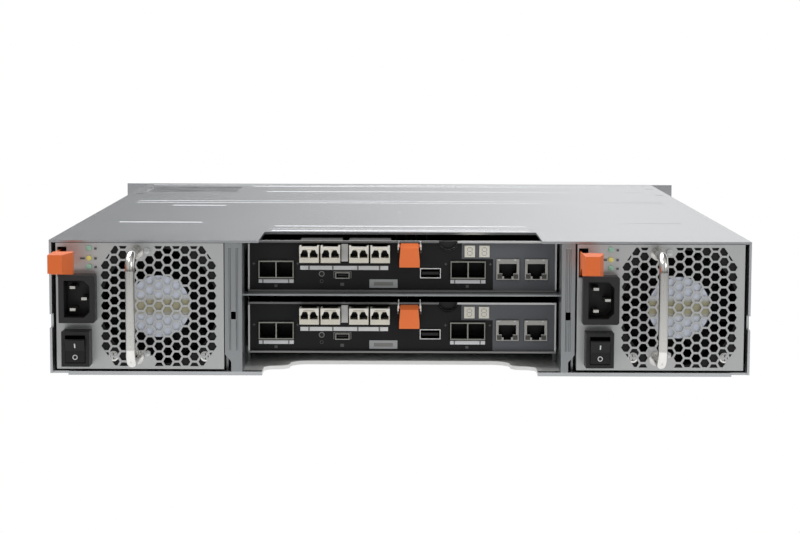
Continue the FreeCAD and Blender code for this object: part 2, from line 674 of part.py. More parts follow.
def controller_board(z):
    """Circuit board on stand-offs, with its processor heat sink."""
    y0 = CTRL_FACE_Y + THIN + FIT
    y1 = CTRL_FACE_Y + CTRL_D
    board = block(CTRL_X0 + THIN + 1, CTRL_X1 - THIN - 1, y0, y1, z + BOARD_Z, z + BOARD_Z + BOARD_T)
    parts = [board]
    for x in (CTRL_X0 + 8, 0.0, CTRL_X1 - 8):
        for y in (y0 + 60, y1 - 10):
            parts.append(standoff(x, y, z + THIN, BOARD_Z - THIN))
    base = z + BOARD_Z + BOARD_T
    parts.append(block(-40, 20, 160, 220, base, base + 4))
    for k in range(9):
        x = -40 + 7.3 * k
        parts.append(block(x, x + 1.6, 160, 220, base, base + 20))
    return fuse(parts)


def controller_cages(z):
    """Double SAS cages and the row of transceiver cages, bright sheet."""
    y0 = CTRL_FACE_Y - 2.0
    y1 = CTRL_FACE_Y + 18.0
    cages = []
    for a, b, c, d in SAS:
        base = z + max(c + 0.2, BOARD_Z + BOARD_T)
        cage = block(a + 0.2, b - 0.2, y0, y1, base, z + d - 0.2)
        mid = (a + b) / 2
        mouths = []
        for left in (a + 0.8, mid + 0.4):
            right = left + (b - a) / 2 - 1.2
            mouths.append(block(left, right, y0 - 1, y1 - 2, z + c + 0.9, z + d - 0.9))
        feet = block(a + 0.2, b - 0.2, CTRL_FACE_Y + THIN + FIT, y1, z + BOARD_Z + BOARD_T,
                     z + c + 0.5)
        cages.append(fuse([cut(cage, mouths), feet]))
    row = []
    for k in range(4):
        a = sfp_left(k)
        b = a + SFP_PITCH
        row.append(block(a, b, CTRL_FACE_Y + THIN, CTRL_FACE_Y + 50, z + SFP_Z[0] - 0.4, z + SFP_Z[1]))
    holes = []
    for k in range(4):
        a = sfp_left(k)
        b = a + SFP_PITCH
        holes.append(block(a + 0.3, b - 0.3, CTRL_FACE_Y, CTRL_FACE_Y + 49.5,
                           z + SFP_Z[0], z + SFP_Z[1] - 0.4))
    first = sfp_left(0)
    last = sfp_left(3) + SFP_PITCH
    for x in (first, last - 2.0):
        row.append(block(x, x + 2.0, CTRL_FACE_Y + 20, CTRL_FACE_Y + 50,
                         z + BOARD_Z + BOARD_T, z + SFP_Z[0]))
    row.append(block(first, last, CTRL_FACE_Y + THIN, CTRL_FACE_Y + 50,
                     z + SFP_Z[0] - 0.4, z + SFP_Z[0]))
    cages.append(cut(fuse(row), holes))
    return Part.makeCompound(cages)


def controller_jacks(z):
    """Network jacks, USB sockets and the display block on the board."""
    y1 = CTRL_FACE_Y + 16.0
    top = z + BOARD_Z + BOARD_T
    pieces = []
    for a, b, c, d in JACKS:
        shell = block(a + 0.2, b - 0.2, CTRL_FACE_Y - 1, y1, z + c + 0.2, z + d - 0.2)
        steps = ((1.9, d - 3.2), (1.9, c + 4.3), (4.0, c + 4.3), (4.0, c + 2.4),
                 (5.2, c + 2.4), (5.2, c + 0.7))
        mouth = plate_xz([(a + x, z + h) for x, h in steps]
                         + [(b - x, z + h) for x, h in reversed(steps)],
                         CTRL_FACE_Y - 2, 13.0)
        foot = block(a + 0.2, b - 0.2, CTRL_FACE_Y + THIN + FIT, y1, top, z + c + 1)
        pieces.append(fuse([cut(shell, [mouth]), foot]))
    for socket, tongue in ((USB_A, 1.8), (USB_MINI, 1.0)):
        a, b, c, d = socket
        shell = block(a + 0.2, b - 0.2, CTRL_FACE_Y - 1, y1 - 2, z + c + 0.2, z + d - 0.2)
        hole = block(a + 0.7, b - 0.7, CTRL_FACE_Y - 2, y1 - 4, z + c + 0.7, z + d - 0.7)
        blade = block(a + 1.6, b - 1.6, CTRL_FACE_Y, y1 - 3, (2 * z + c + d) / 2 - tongue / 2,
                      (2 * z + c + d) / 2 + tongue / 2)
        foot = block(a + 0.2, b - 0.2, CTRL_FACE_Y + THIN + FIT, y1 - 2, top, z + c + 0.5)
        pieces.append(fuse([cut(shell, [hole]), blade, foot]))
    a = DIGITS[0][0]
    b = DIGITS[1][1]
    block_y = CTRL_FACE_Y + THIN
    display = [block(a - 1, b + 1, block_y, block_y + 4, z + DIGIT_Z[0] - 1, z + DIGIT_Z[1] + 1),
               block(a + 1, b - 1, block_y + 22, block_y + 24, top, z + DIGIT_Z[1]),
               block(a + 1, b - 1, block_y, block_y + 24, z + DIGIT_Z[1] - 1, z + DIGIT_Z[1])]
    for left, right in DIGITS:
        display.append(block(left + 0.2, right - 0.2, CTRL_FACE_Y - 0.6, block_y,
                             z + DIGIT_Z[0] + 0.2, z + DIGIT_Z[1] - 0.2))
    pieces.append(fuse(display))
    return Part.makeCompound(pieces)


def transceiver(a, z):
    """One optical transceiver: nose with two fibre ports, and its wire bail."""
    b = a + SFP_PITCH - 0.4
    y0 = CTRL_FACE_Y - 12.0
    low = z + SFP_Z[0]
    high = z + SFP_Z[1] - 1.0
    nose = block(a + 0.4, b - 0.4, y0, CTRL_FACE_Y + 46, low, high - 1.6)
    ports = []
    for s in (-1, 1):
        x = (a + b) / 2 + s * 3.0
        ports.append(plate_xz([(x - 2.5, low + 3.4), (x + 2.5, low + 3.4), (x + 2.5, low + 6.0),
                               (x + 1.3, low + 8.2), (x - 1.3, low + 8.2), (x - 2.5, low + 6.0)],
                              y0 - 1, 12.0))
    nose = cut(nose, ports)
    bail = [block(a + 0.4, b - 0.4, y0 - 3.0, y0 - 1.8, high - 1.0, high)]
    for x, inward in ((a + 0.4, 1), (b - 0.4, -1)):
        bail.append(plate_xz([(x, high), (x + inward * 3.2, high), (x + inward * 1.2, high - 4.6),
                              (x, high - 4.6)], y0 - 3.0, 1.2))
        x0, x1 = sorted((x, x + inward * 1.2))
        bail.append(block(x0, x1, y0 - 3.0, y0 + 9.0, high - 1.8, high))
    return fuse([nose] + bail)


def controller_transceivers(z):
    return Part.makeCompound([transceiver(sfp_left(k) + 0.2, z) for k in range(4)])


def controller_lever(z):
    """Release lever hinged on a cross pin at its top, tapered towards the tip."""
    a, b, c, d = LEVER
    y, zp = LEVER_PIVOT
    paddle = [(y - 2.2, z + c), (y - 0.8, z + c), (y + 1.8, z + zp - 1.8), (y + 1.8, z + zp + 0.6),
              (y + 0.8, z + zp + 1.75), (y - 0.8, z + zp + 1.75), (y - 1.9, z + zp + 0.2),
              (y - 3.2, z + zp - 1.2)]
    blade = plate_yz(paddle, a, b - a)
    sides = [plate_xz([(x, z + d + 1), (x + inward * 1.1, z + d + 1), (x, z + c + 3)], y - 6, 12)
             for x, inward in ((a - 0.1, 1), (b + 0.1, -1))]
    reach = LUG_T + LUG_GAP
    pin = rod(LEVER_PIN_R, (a - reach, y, z + zp), (1, 0, 0), b - a + 2 * reach)
    return fuse([cut(blade, sides), pin])


# ---------------------------------------------------------------- drives
CARRIER_W = COL_PITCH - CAGE_T - 2 * FIT
CARRIER_RISE = LEDGE_T + FIT


HANDLE_PIVOT = (9.5, 4.4)       # from the carrier's left edge, from its front face
HANDLE_Z = (2.6, 14.0)        # pocket that the handle swings in, from the carrier's base
HANDLE_PIN_R = 1.5


def drive(col, row):
    """Hot-swap carrier: bezel, two rails, tail bar, and the disk between them."""
    x = bay_centre(col)
    z = SHEET + row * ROW_PITCH + CARRIER_RISE
    h = ROW_PITCH - LEDGE_T - 2 * FIT
    w = CARRIER_W / 2
    y1 = CARRIER_FACE_Y
    y0 = y1 - BEZEL_T
    tail = TAIL_Y
    frame = [block(x - w, x + w, y0, y1, z, z + h)]
    rail = (CARRIER_W - DISK[0]) / 2 - FIT / 3
    for side in (-1, 1):
        r0, r1 = sorted((x + side * w, x + side * (w - rail)))
        frame.append(block(r0, r1, tail, y0, z, z + h))
    carrier = fuse(frame)
    cells = []
    for k in range(5):
        cx = x + 17.5 * (k - 2)
        cells.append(block(cx - 7.0, cx + 7.0, y0 - 1, y1 + 1, z + h - 8.0, z + h - 3.4))
    px, py = HANDLE_PIVOT
    cells.append(block(x - w - 1, x - w + 15, y1 - 9.0, y1 + 1, z + HANDLE_Z[0], z + HANDLE_Z[1]))
    carrier = cut(carrier, cells)
    pin = rod(HANDLE_PIN_R, (x - w + px, y1 - py, z + HANDLE_Z[0]), (0, 0, 1),
              HANDLE_Z[1] - HANDLE_Z[0])
    carrier = fuse([carrier, pin])
    d0 = z + (h - DISK[2]) / 2
    half = DISK[0] / 2 + FIT / 3
    disk = block(x - half, x + half, tail, y0, d0, d0 + DISK[2])
    plug = block(x - 21.6, x + 21.6, tail - 1, tail + 6.0, z + 2.0, z + 9.6)
    return Part.makeCompound([carrier, disk.cut(plug)])


def drive_handle(col, row):
    """Cam lever with a finger grip at its free end and a cam at its pin."""
    x = bay_centre(col) - CARRIER_W / 2
    z = SHEET + row * ROW_PITCH + CARRIER_RISE
    y = CARRIER_FACE_Y
    px, py = HANDLE_PIVOT
    z0 = z + HANDLE_Z[0] + FIT
    z1 = z + HANDLE_Z[1] - FIT
    far = CARRIER_W - 4.0
    outline = [(x + px - 4.0, y - py - 1.5), (x + px - 1.5, y - py - 4.0),
               (x + px + 1.5, y - py - 4.0), (x + px + 4.0, y - py - 1.5),
               (x + px + 4.0, y + 0.6), (x + far, y + 0.6), (x + far, y + HANDLE_T - 2.0),
               (x + far - 2.0, y + HANDLE_T), (x + px + 2.0, y + HANDLE_T),
               (x + px - 4.0, y + HANDLE_T - 5.0)]
    lever = prism(outline, z0, z1 - z0)
    grip = block(x + far - 26.0, x + far - 8.0, y + 3.4, y + HANDLE_T + 1, z0 + 2.2, z1 - 2.2)
    pin = rod(HANDLE_PIN_R + SHAFT_FIT, (x + px, y - py, z0 - 1), (0, 0, 1), z1 - z0 + 2)
    return cut(lever, [grip, pin])


# ---------------------------------------------------------------- build
save("floor_pan", floor_pan())
save("rear_top_cover", rear_top_cover())
save("front_top_cover", front_top_cover())
save("rear_bay_frame", rear_bay_frame())
save("drive_cage", drive_cage())
save("midplane_board", midplane_board())

for side, left_edge in PSU_X.items():
    unit = "psu_" + side + "_"
    save(unit + "case", psu_case(left_edge))
    save(unit + "face", psu_face(left_edge))
    save(unit + "handle", psu_handle(left_edge))
    save(unit + "inlet", psu_inlet(left_edge))
    save(unit + "switch_frame", psu_switch_frame(left_edge))
    save(unit + "rocker", psu_rocker(left_edge))
    save(unit + "latch", psu_latch(left_edge))
    save(unit + "fan_frame", psu_fan_frame(left_edge))
    save(unit + "fan_rotor", psu_fan_rotor(left_edge))

for which, base in CTRL_Z.items():
    unit = "controller_" + which + "_"
    save(unit + "tray", controller_tray(base))
    save(unit + "board", controller_board(base))
    save(unit + "cages", controller_cages(base))
    save(unit + "jacks", controller_jacks(base))
    save(unit + "transceivers", controller_transceivers(base))
    save(unit + "lever", controller_lever(base))

for column in range(COLUMNS):
    for level in range(ROWS):
        bay = "drive_%d_%d" % (column + 1, level + 1)
        save(bay, drive(column, level))
        save(bay + "_handle", drive_handle(column, level))
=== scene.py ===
# %% [markdown]
# # A rack disk shelf, seen from behind
#
# The object is a flat steel box for a server rack: twelve drives at the far end,
# and at this end two power and cooling units beside two stacked controllers.
# The rigid shapes come ready made from the CAD model, which is loaded as a frame
# that is never moved. This lesson gives them their finishes and adds the small
# pieces that a CAD model leaves out: screws, lamps, labels and marks.

import bpy
import math
from mathutils import Matrix, Vector


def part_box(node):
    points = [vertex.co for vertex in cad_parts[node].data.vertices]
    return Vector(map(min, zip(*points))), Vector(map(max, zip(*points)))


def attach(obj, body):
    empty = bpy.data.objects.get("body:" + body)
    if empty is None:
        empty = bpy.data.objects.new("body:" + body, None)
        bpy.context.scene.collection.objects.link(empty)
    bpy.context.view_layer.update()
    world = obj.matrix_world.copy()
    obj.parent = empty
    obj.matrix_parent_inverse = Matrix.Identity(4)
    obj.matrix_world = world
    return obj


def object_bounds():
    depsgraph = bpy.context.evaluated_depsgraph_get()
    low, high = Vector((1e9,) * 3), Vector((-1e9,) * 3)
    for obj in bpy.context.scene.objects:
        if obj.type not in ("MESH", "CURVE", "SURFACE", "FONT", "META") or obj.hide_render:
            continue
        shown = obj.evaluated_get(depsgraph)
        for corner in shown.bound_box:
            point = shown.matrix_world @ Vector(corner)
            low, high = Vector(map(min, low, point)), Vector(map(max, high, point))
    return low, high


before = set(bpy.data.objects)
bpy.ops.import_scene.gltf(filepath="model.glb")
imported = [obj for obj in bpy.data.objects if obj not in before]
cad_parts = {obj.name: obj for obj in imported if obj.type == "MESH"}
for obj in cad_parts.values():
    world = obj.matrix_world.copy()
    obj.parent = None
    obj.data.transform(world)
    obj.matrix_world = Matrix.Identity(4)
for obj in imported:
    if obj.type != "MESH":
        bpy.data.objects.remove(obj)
cad_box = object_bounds()
MM = 0.001
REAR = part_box("psu_left_face")[0][1]
FLOOR_Z = cad_box[0][2]
print("frame loaded:", len(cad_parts), "nodes, rear plane at", round(REAR, 4))

# %% [markdown]
# ## Places
#
# Everything is placed from the boxes of the CAD nodes. A small function turns
# the numbers a fitter would measure (millimetres across, in from the rear plane,
# and up from the floor) into metres in the frame.


# %% Places
def at(x, y, z):
    """A point in metres from millimetres: across, in from the rear plane, up."""
    return Vector((x * MM, REAR + y * MM, FLOOR_Z + z * MM))


def corner(node, which=0):
    """A corner of a node's box in millimetres: across, in from the rear, up."""
    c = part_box(node)[which]
    return (c[0] / MM, (c[1] - REAR) / MM, (c[2] - FLOOR_Z) / MM)


SUPPLIES = {side: corner("psu_%s_face" % side)[0] for side in ("left", "right")}
CONTROLLERS = {which: corner("controller_%s_tray" % which)[2] for which in ("upper", "lower")}
FACE_IN = corner("controller_upper_board")[1] - 1.3
TOP = corner("rear_top_cover", 1)[2]
FAN_IN_X = 65.3
FAN_UP = (corner("psu_left_fan_frame")[2] + corner("psu_left_fan_frame", 1)[2]) / 2
SWITCH_LOW = corner("psu_left_switch_frame")
SWITCH_HIGH = corner("psu_left_switch_frame", 1)
JACK_PORTS = ((61.9, 77.1), (80.3, 95.5))   # left and right edges of the network jacks
SOCKET_X, SOCKET_UP = -50.8, 11.4           # the round service socket
NOSE_LEFT, NOSE_PITCH, NOSE_GAP = -65.3, 13.65, 4.6     # two pairs of transceivers
LEVER_WIRE_X = (-1.0, 12.9)
RECESS_X = 30.9
DIGIT_X, DIGIT_UP = (44.85, 54.3), 26.25
print("supplies start at x =", SUPPLIES, "controllers stand at z =", CONTROLLERS)

# %% [markdown]
# ## Writing shader maths as sums
#
# A material is a small calculation that runs at every point of a surface. It is
# easier to read as a line of arithmetic than as a web of nodes, so this class
# wraps one socket and turns +, -, * and / into Math nodes. `Bench.node` makes any
# other node from its type, its settings and its inputs.


# %% Socket arithmetic
class Value:
    """One output of the node tree that can be added, multiplied and compared."""

    def __init__(self, bench, socket):
        self.bench = bench
        self.socket = socket

    def math(self, operation, *others):
        return self.bench.math(operation, self, *others)

    def __add__(self, other):
        return self.math("ADD", other)

    def __radd__(self, other):
        return self.bench.math("ADD", other, self)

    def __sub__(self, other):
        return self.math("SUBTRACT", other)

    def __rsub__(self, other):
        return self.bench.math("SUBTRACT", other, self)

    def __mul__(self, other):
        return self.math("MULTIPLY", other)

    def __rmul__(self, other):
        return self.bench.math("MULTIPLY", other, self)

    def __truediv__(self, other):
        return self.math("DIVIDE", other)


class Bench:
    """A new material with its shader, and the two ways to add nodes to it."""

    def __init__(self, name, **constants):
        self.material = bpy.data.materials.new(name)
        self.material.use_nodes = True
        self.tree = self.material.node_tree
        self.shader = self.tree.nodes["Principled BSDF"]
        self.shader.inputs["Specular IOR Level"].default_value = 0.4
        for socket, number in constants.items():
            self.shader.inputs[socket.replace("_", " ")].default_value = number
        self.place = self.node("ShaderNodeTexCoord", out="Object")

    def node(self, kind, settings=None, out=0, **inputs):
        made = self.tree.nodes.new(kind)
        for key, setting in (settings or {}).items():
            setattr(made, key, setting)
        for key, given in inputs.items():
            numbered = key[0] == "n" and key[1:].isdigit()
            self.feed(made.inputs[int(key[1:]) if numbered else key], given)
        return Value(self, made.outputs[out])

    def feed(self, socket, given):
        if isinstance(given, Value):
            self.tree.links.new(given.socket, socket)
        else:
            socket.default_value = given

    def math(self, operation, *terms):
        inputs = {"n%d" % i: term for i, term in enumerate(terms)}
        return self.node("ShaderNodeMath", {"operation": operation}, **inputs)

    def ramp(self, value, *stops):
        """Greys spread over 0 to 1, from pairs of place and grey."""
        made = self.tree.nodes.new("ShaderNodeValToRGB")
        points = made.color_ramp.elements
        while len(points) < len(stops):
            points.new(0.5)
        for point, (where, grey) in zip(points, stops):
            point.position = where
            point.color = (grey, grey, grey, 1)
        self.feed(made.inputs[0], value)
        return Value(self, made.outputs[0])

    def mix(self, mask, first, second):
        """The first colour where the mask is 0, the second where it is 1."""
        made = self.tree.nodes.new("ShaderNodeMix")
        made.data_type = "RGBA"
        self.feed(made.inputs[0], mask)
        for socket, given in ((made.inputs[6], first), (made.inputs[7], second)):
            self.feed(socket, (*given, 1) if isinstance(given, tuple) else given)
        return Value(self, made.outputs[2])

    def shaded(self, amount, colour):
        """The colour, darker wherever the amount is below 1."""
        return self.mix(amount, (0.0, 0.0, 0.0), colour)

    def noise(self, scale, detail=3.0, roughness=0.5, stretch=(1, 1, 1)):
        """Noise from 0 to 1 in the piece's own coordinates, stretched if asked."""
        where = self.node("ShaderNodeMapping", Vector=self.place, Scale=stretch)
        return self.node("ShaderNodeTexNoise", Vector=where, Scale=scale, Detail=detail,
                         Roughness=roughness)

    def axes(self):
        """The point's X, Y and Z in metres."""
        made = self.tree.nodes.new("ShaderNodeSeparateXYZ")
        self.feed(made.inputs[0], self.place)
        return [Value(self, socket) for socket in made.outputs]

    def between(self, value, low, high, soft=0.00002):
        """1 inside a range and 0 outside it, with a hair's soft edge."""
        up = self.node("ShaderNodeMapRange", {"clamp": True}, Value=value,
                       **{"From Min": low - soft, "From Max": low + soft})
        down = self.node("ShaderNodeMapRange", {"clamp": True}, Value=value,
                         **{"From Min": high - soft, "From Max": high + soft})
        return up * (1 - down)

    def finish(self, colour, roughness, metallic, height, depth, strength):
        """Join what varies to the shader and hand over the material."""
        for name, given in (("Base Color", colour), ("Roughness", roughness),
                            ("Metallic", metallic)):
            if given is not None:
                self.feed(self.shader.inputs[name], given)
        bump = self.node("ShaderNodeBump", Height=height, Strength=strength, Distance=depth)
        self.feed(self.shader.inputs["Normal"], bump)
        return self.material


# %% [markdown]
# ## Zinc-coated sheet
#
# The chassis is folded from galvanised steel. Close up, zinc has faint crystal
# patches that each reflect a little differently, rolling streaks along the
# sheet, and a satin sheen with smudges from handling. The patches come from a
# Voronoi texture, the streaks from noise stretched along one axis.


# %% Zinc sheet
ZINC_METAL = 0.82
ZINC_COVER = (0.62, 0.64, 0.66)
ZINC_SHELL = (0.71, 0.73, 0.75)


def zinc(name, tone, ribs=(), lit_patch_metal=None, field=False):
    """Galvanised sheet of a given tone; ribs are (x, y, half length, half width).

    Given a metallic value, the sheet just inside the rear opening takes it and a pale
    colour: painted light on the floor there. Field adds the darker front edge and
    mottled painted shade in the sunk field.
    """
    b = Bench(name, Metallic=ZINC_METAL)
    x, y, z = b.axes()
    spangle = b.node("ShaderNodeTexVoronoi", {"feature": "F1"}, out="Color",
                     Vector=b.place, Scale=95.0)
    patch = b.node("ShaderNodeSeparateColor", Color=spangle)
    streak = b.noise(60.0, 4.0, 0.6, (0.05, 1.0, 1.0))
    smudge = b.noise(9.0, 3.0, 0.55)
    shade = 0.95 + patch * 0.020 + streak * 0.03 + smudge * 0.03
    colour = b.shaded(shade * 0.9, tone)
    metal = None
    if lit_patch_metal is not None:
        # Painted light: just inside the rear opening the floor is made pale and less metallic,
        # as if lit.
        painted_light_patch = b.between(x, -0.112, 0.112) * b.between(y, REAR + 0.008, REAR + 0.13)
        metal = ZINC_METAL - painted_light_patch * (ZINC_METAL - lit_patch_metal)
        colour = b.mix(painted_light_patch, colour, (0.92, 0.93, 0.91))
    if field:
        edge = b.between(y, REAR + 0.5515, 2.0)
        colour = b.mix(edge * 0.65, colour, (0.10, 0.10, 0.10))
        # Painted shade: the sunk field is darkened, mottled by noise.
        sunk = (b.between(x, -0.2115, -0.1375, 0.0006)
                * b.between(y, REAR + 0.450, REAR + 0.508, 0.001))
        mottle = b.ramp(b.noise(70.0, 5.0, 0.7, (0.5, 1.0, 1.0)), (0.42, 0.35), (0.60, 1.0))
        colour = b.mix(sunk * mottle * 0.75, colour, (0.16, 0.165, 0.17))
    rough = 0.235 + smudge * 0.03 + patch * 0.008
    grain = b.noise(900.0, 2.0, 0.6, (0.2, 1.0, 1.0))
    height = grain * 0.0002
    for rib_x, rib_y, half, width in ribs:
        past_end = ((x - rib_x).math("ABSOLUTE") - half).math("MAXIMUM", 0.0)
        across = (y - rib_y).math("ABSOLUTE")
        away = (past_end * past_end + across * across).math("SQRT")
        height = height + b.node(
            "ShaderNodeMapRange", {"interpolation_type": "SMOOTHSTEP"}, Value=away,
            **{"From Min": width * 0.25, "From Max": width, "To Min": 1.0, "To Max": 0.0})
    return b.finish(colour, rough, metal, height, 0.0007 if ribs else 0.0004, 1.0)


def seams(*rows):
    """Rib places in metres from millimetres."""
    return [(x * MM, REAR + y * MM, half * MM, width * MM) for x, y, half, width in rows]


REAR_RIBS = seams((0, 93, 86, 7.5), (0, 330, 205, 3.5), (0, 235, 0.5, 2.0))
FRONT_RIBS = seams((0, 349, 205, 3.0), (0, 540, 214, 3.2))
zinc_shell = zinc("zinc_shell", ZINC_SHELL, lit_patch_metal=0.04)
zinc_rear = zinc("zinc_rear_cover", ZINC_COVER, REAR_RIBS)
zinc_front = zinc("zinc_front_cover", ZINC_COVER, FRONT_RIBS, field=True)
print("zinc sheet made in three versions")

# %% [markdown]
# ## Plated steel of the plug-in units
#
# The supplies, trays and bay dividers are thinner, smoother plated sheet. It has
# no crystal pattern, only a fine one-way grain and slightly uneven roughness.


# %% Plated steel
def plated(name, tone, rough, stretch=(1.0, 1.0, 0.06), metal=0.85):
    """Plated sheet or rod whose grain is drawn out along one axis."""
    b = Bench(name, Metallic=metal)
    grain = b.noise(420.0, 3.0, 0.6, stretch)
    cloud = b.noise(14.0, 3.0, 0.5)
    colour = b.shaded(0.90 + grain * 0.07 + cloud * 0.06, tone)
    rough = rough - 0.05 + grain * 0.06 + cloud * 0.08
    return b.finish(colour, rough, None, grain, 0.00006, 0.6)


plated_face = plated("plated_face", (0.60, 0.61, 0.61), 0.34, metal=0.7)
plated_case = plated("plated_case", (0.60, 0.61, 0.61), 0.36, (1.0, 0.06, 1.0))
divider_steel = plated("divider_steel", (0.40, 0.42, 0.43), 0.28)
spring_steel = plated("spring_steel", (0.62, 0.61, 0.58), 0.28)
rod_steel = plated("rod_steel", (0.86, 0.85, 0.82), 0.16, (1.0, 1.0, 0.03), 1.0)
bright_steel = plated("bright_steel", (0.80, 0.80, 0.78), 0.25)
screw_steel = plated("screw_steel", (0.62, 0.62, 0.60), 0.3)
print("plated steels made")

# %% [markdown]
# ## Moulded plastics
#
# Moulded parts have a fine spark-eroded grain and a slightly uneven gloss. One
# function serves all of them; tone, gloss and grain differ.


# %% Plastics
def moulded(name, tone, rough, grain_size=1500.0, depth=0.00004):
    """Moulded plastic of a given tone and gloss."""
    b = Bench(name)
    grain = b.noise(grain_size, 2.0, 0.6)
    cloud = b.noise(25.0, 3.0, 0.5)
    colour = b.shaded(0.94 + cloud * 0.096 + grain * 0.05, tone)
    rough = rough - 0.06 + cloud * 0.12 + grain * 0.05
    return b.finish(colour, rough, None, grain, depth, 0.7)


orange_tab = moulded("orange_tab", (0.84, 0.17, 0.035), 0.42)
orange_lever = moulded("orange_lever", (0.93, 0.20, 0.045), 0.36)
black_plastic = moulded("black_plastic", (0.014, 0.014, 0.015), 0.42)
rocker_plastic = moulded("rocker_plastic", (0.007, 0.007, 0.008), 0.58, 2200.0, 0.00001)
fan_plastic = moulded("fan_plastic", (0.005, 0.005, 0.006), 0.62)
mark_white = moulded("mark_white", (0.75, 0.76, 0.76), 0.5)
label_white = moulded("label_white", (0.78, 0.79, 0.81), 0.55, 600.0)
label_grey = moulded("label_grey", (0.38, 0.39, 0.40), 0.55, 600.0)
outline_grey = moulded("outline_grey", (0.22, 0.22, 0.21), 0.5, 600.0)
# Painted highlight colour for the transceiver bails.
bail_highlight = moulded("bail_highlight", (0.90, 0.87, 0.78), 0.3, 900.0)
label_dim = moulded("label_dim", (0.10, 0.10, 0.105), 0.55, 600.0)
pipe_grey = moulded("pipe_grey", (0.075, 0.07, 0.065), 0.3)
handle_plastic = moulded("handle_plastic", (0.035, 0.036, 0.038), 0.4)
print("plastics made")

# %% [markdown]
# ## Finishes with two materials on one piece
#
# Some CAD nodes join two stuffs, such as a jack's bright shell and its black
# insert. The place on the piece says which is which: a mask from the object
# coordinates mixes the two.


# %% Mixed finishes
# Black of the port insides, also used as painted shade on the cage roofs.
PORT_BLACK_AND_SHADE = (0.010, 0.010, 0.010)


def height_band(b, z, base, low, high):
    """1 between two heights in millimetres above a base, 0 outside."""
    return b.between(z, FLOOR_Z + (base + low) * MM, FLOOR_Z + (base + high) * MM)


def tray_finish(name, base):
    """Plated tray with a black film and a grey one on its port face, and painted shade on its
    lips.
    """
    b = Bench(name)
    x, y, z = b.axes()
    face = REAR + FACE_IN * MM
    film = b.between(y, face - 0.00006, face + 0.00012)
    grain = b.noise(700.0, 3.0, 0.6)
    cloud = b.noise(14.0, 3.0, 0.5)
    right = b.between(x, 39.7 * MM, 101.0 * MM)
    notch = b.between(x, 39.0 * MM, 60.0 * MM) * height_band(b, z, base, -base, 21.3)
    ink = b.mix(right * (1 - notch), (0.010, 0.010, 0.011), (0.124, 0.130, 0.142))
    b.shader.inputs["Specular IOR Level"].default_value = 0.25
    # Painted shade: the left part of the top lip and the bottom lip are darkened.
    shaded_top_lip = b.between(y, face - 0.02, face - 0.0003) * height_band(b, z, base, 31.0, 900.0)
    foot = b.between(y, face - 0.003, face + 0.0005) * height_band(b, z, base, -1.0, 1.4)
    steel = b.shaded(0.86 + cloud * 0.2, (0.72, 0.72, 0.71))
    steel = b.mix(shaded_top_lip * b.between(x, -1.0, 32.0 * MM), steel, (0.22, 0.22, 0.22))
    steel = b.mix(foot * 0.66, steel, (0.10, 0.10, 0.10))
    colour = b.mix(film, steel, ink)
    rough = 0.30 + cloud * 0.08 + film * 0.16
    return b.finish(colour, rough, (1 - film) * 0.9, grain, 0.00004, 0.5)


def inlet_finish(name, left):
    """Black inlet with three bright pins, found by their place."""
    b = Bench(name)
    x, y, z = b.axes()
    middle = left + 14.5
    height = 49.85
    earth = (b.between(x, (middle + 2.3) * MM, (middle + 6.5) * MM)
             * height_band(b, z, height, -1.1, 1.1))
    outer = b.between(x, (middle - 5.1) * MM, (middle - 0.9) * MM)
    row = (z - FLOOR_Z - height * MM).math("ABSOLUTE")
    lines = outer * b.between(row, 5.9 * MM, 8.1 * MM)
    inside = b.between(y, REAR - 9.2 * MM, REAR + 5.3 * MM)
    pin = (earth + lines).math("MINIMUM", 1.0) * inside
    grain = b.noise(1500.0, 2.0, 0.6)
    cloud = b.noise(30.0, 3.0, 0.5)
    black = b.shaded(0.9 + cloud * 0.2, (0.022, 0.022, 0.023))
    colour = b.mix(pin, black, (0.75, 0.74, 0.70))
    return b.finish(colour, 0.38 + cloud * 0.1 - pin * 0.18, pin, grain, 0.00003, 0.6)


def cage_finish(name, base):
    """Dull rim at the mouth, with painted shade inside the mouth and on the roof."""
    b = Bench(name)
    x, y, z = b.axes()
    front = REAR + (FACE_IN - 2.0) * MM
    # Painted shade: dark inside the cage's mouth and on its roof under the cover, with little
    # metal.
    inside = b.between(y, front + 1.0 * MM, front + 0.2)
    grain = b.noise(600.0, 3.0, 0.6)
    roof = height_band(b, z, base, 30.5, 900.0)
    rim = b.shaded(0.85 + grain * 0.25, b.mix(roof, (0.36, 0.36, 0.32), PORT_BLACK_AND_SHADE))
    colour = b.mix(inside, rim, (0.010, 0.010, 0.009))
    metal = (1 - inside) * (1 - roof) * 0.9
    return b.finish(colour, 0.3 + grain * 0.1 + inside * 0.15, metal, grain, 0.00004, 0.5)


def jack_finish(name, base):
    """Dull network jacks, a brighter USB shell and the off-white display block."""
    b = Bench(name)
    x, y, z = b.axes()
    front = REAR + (FACE_IN - 1.0) * MM
    inside = b.between(y, front + 0.6 * MM, front + 0.2)
    digit = b.between(x, 40.0 * MM, 58.5 * MM) * height_band(b, z, base, 21.6, 31.5)
    grain = b.noise(600.0, 3.0, 0.6)
    usb = b.between(x, 12.0 * MM, 27.0 * MM)
    shell = b.shaded(0.85 + grain * 0.25, b.mix(usb, (0.46, 0.455, 0.43), (0.92, 0.92, 0.90)))
    body = b.mix(inside, shell, (0.012, 0.012, 0.012))
    colour = b.mix(digit, body, (0.80, 0.78, 0.69))
    metal = (1 - inside) * (1 - digit) * 0.9
    return b.finish(colour, 0.32 + grain * 0.1 + inside * 0.1, metal, grain, 0.00004, 0.5)


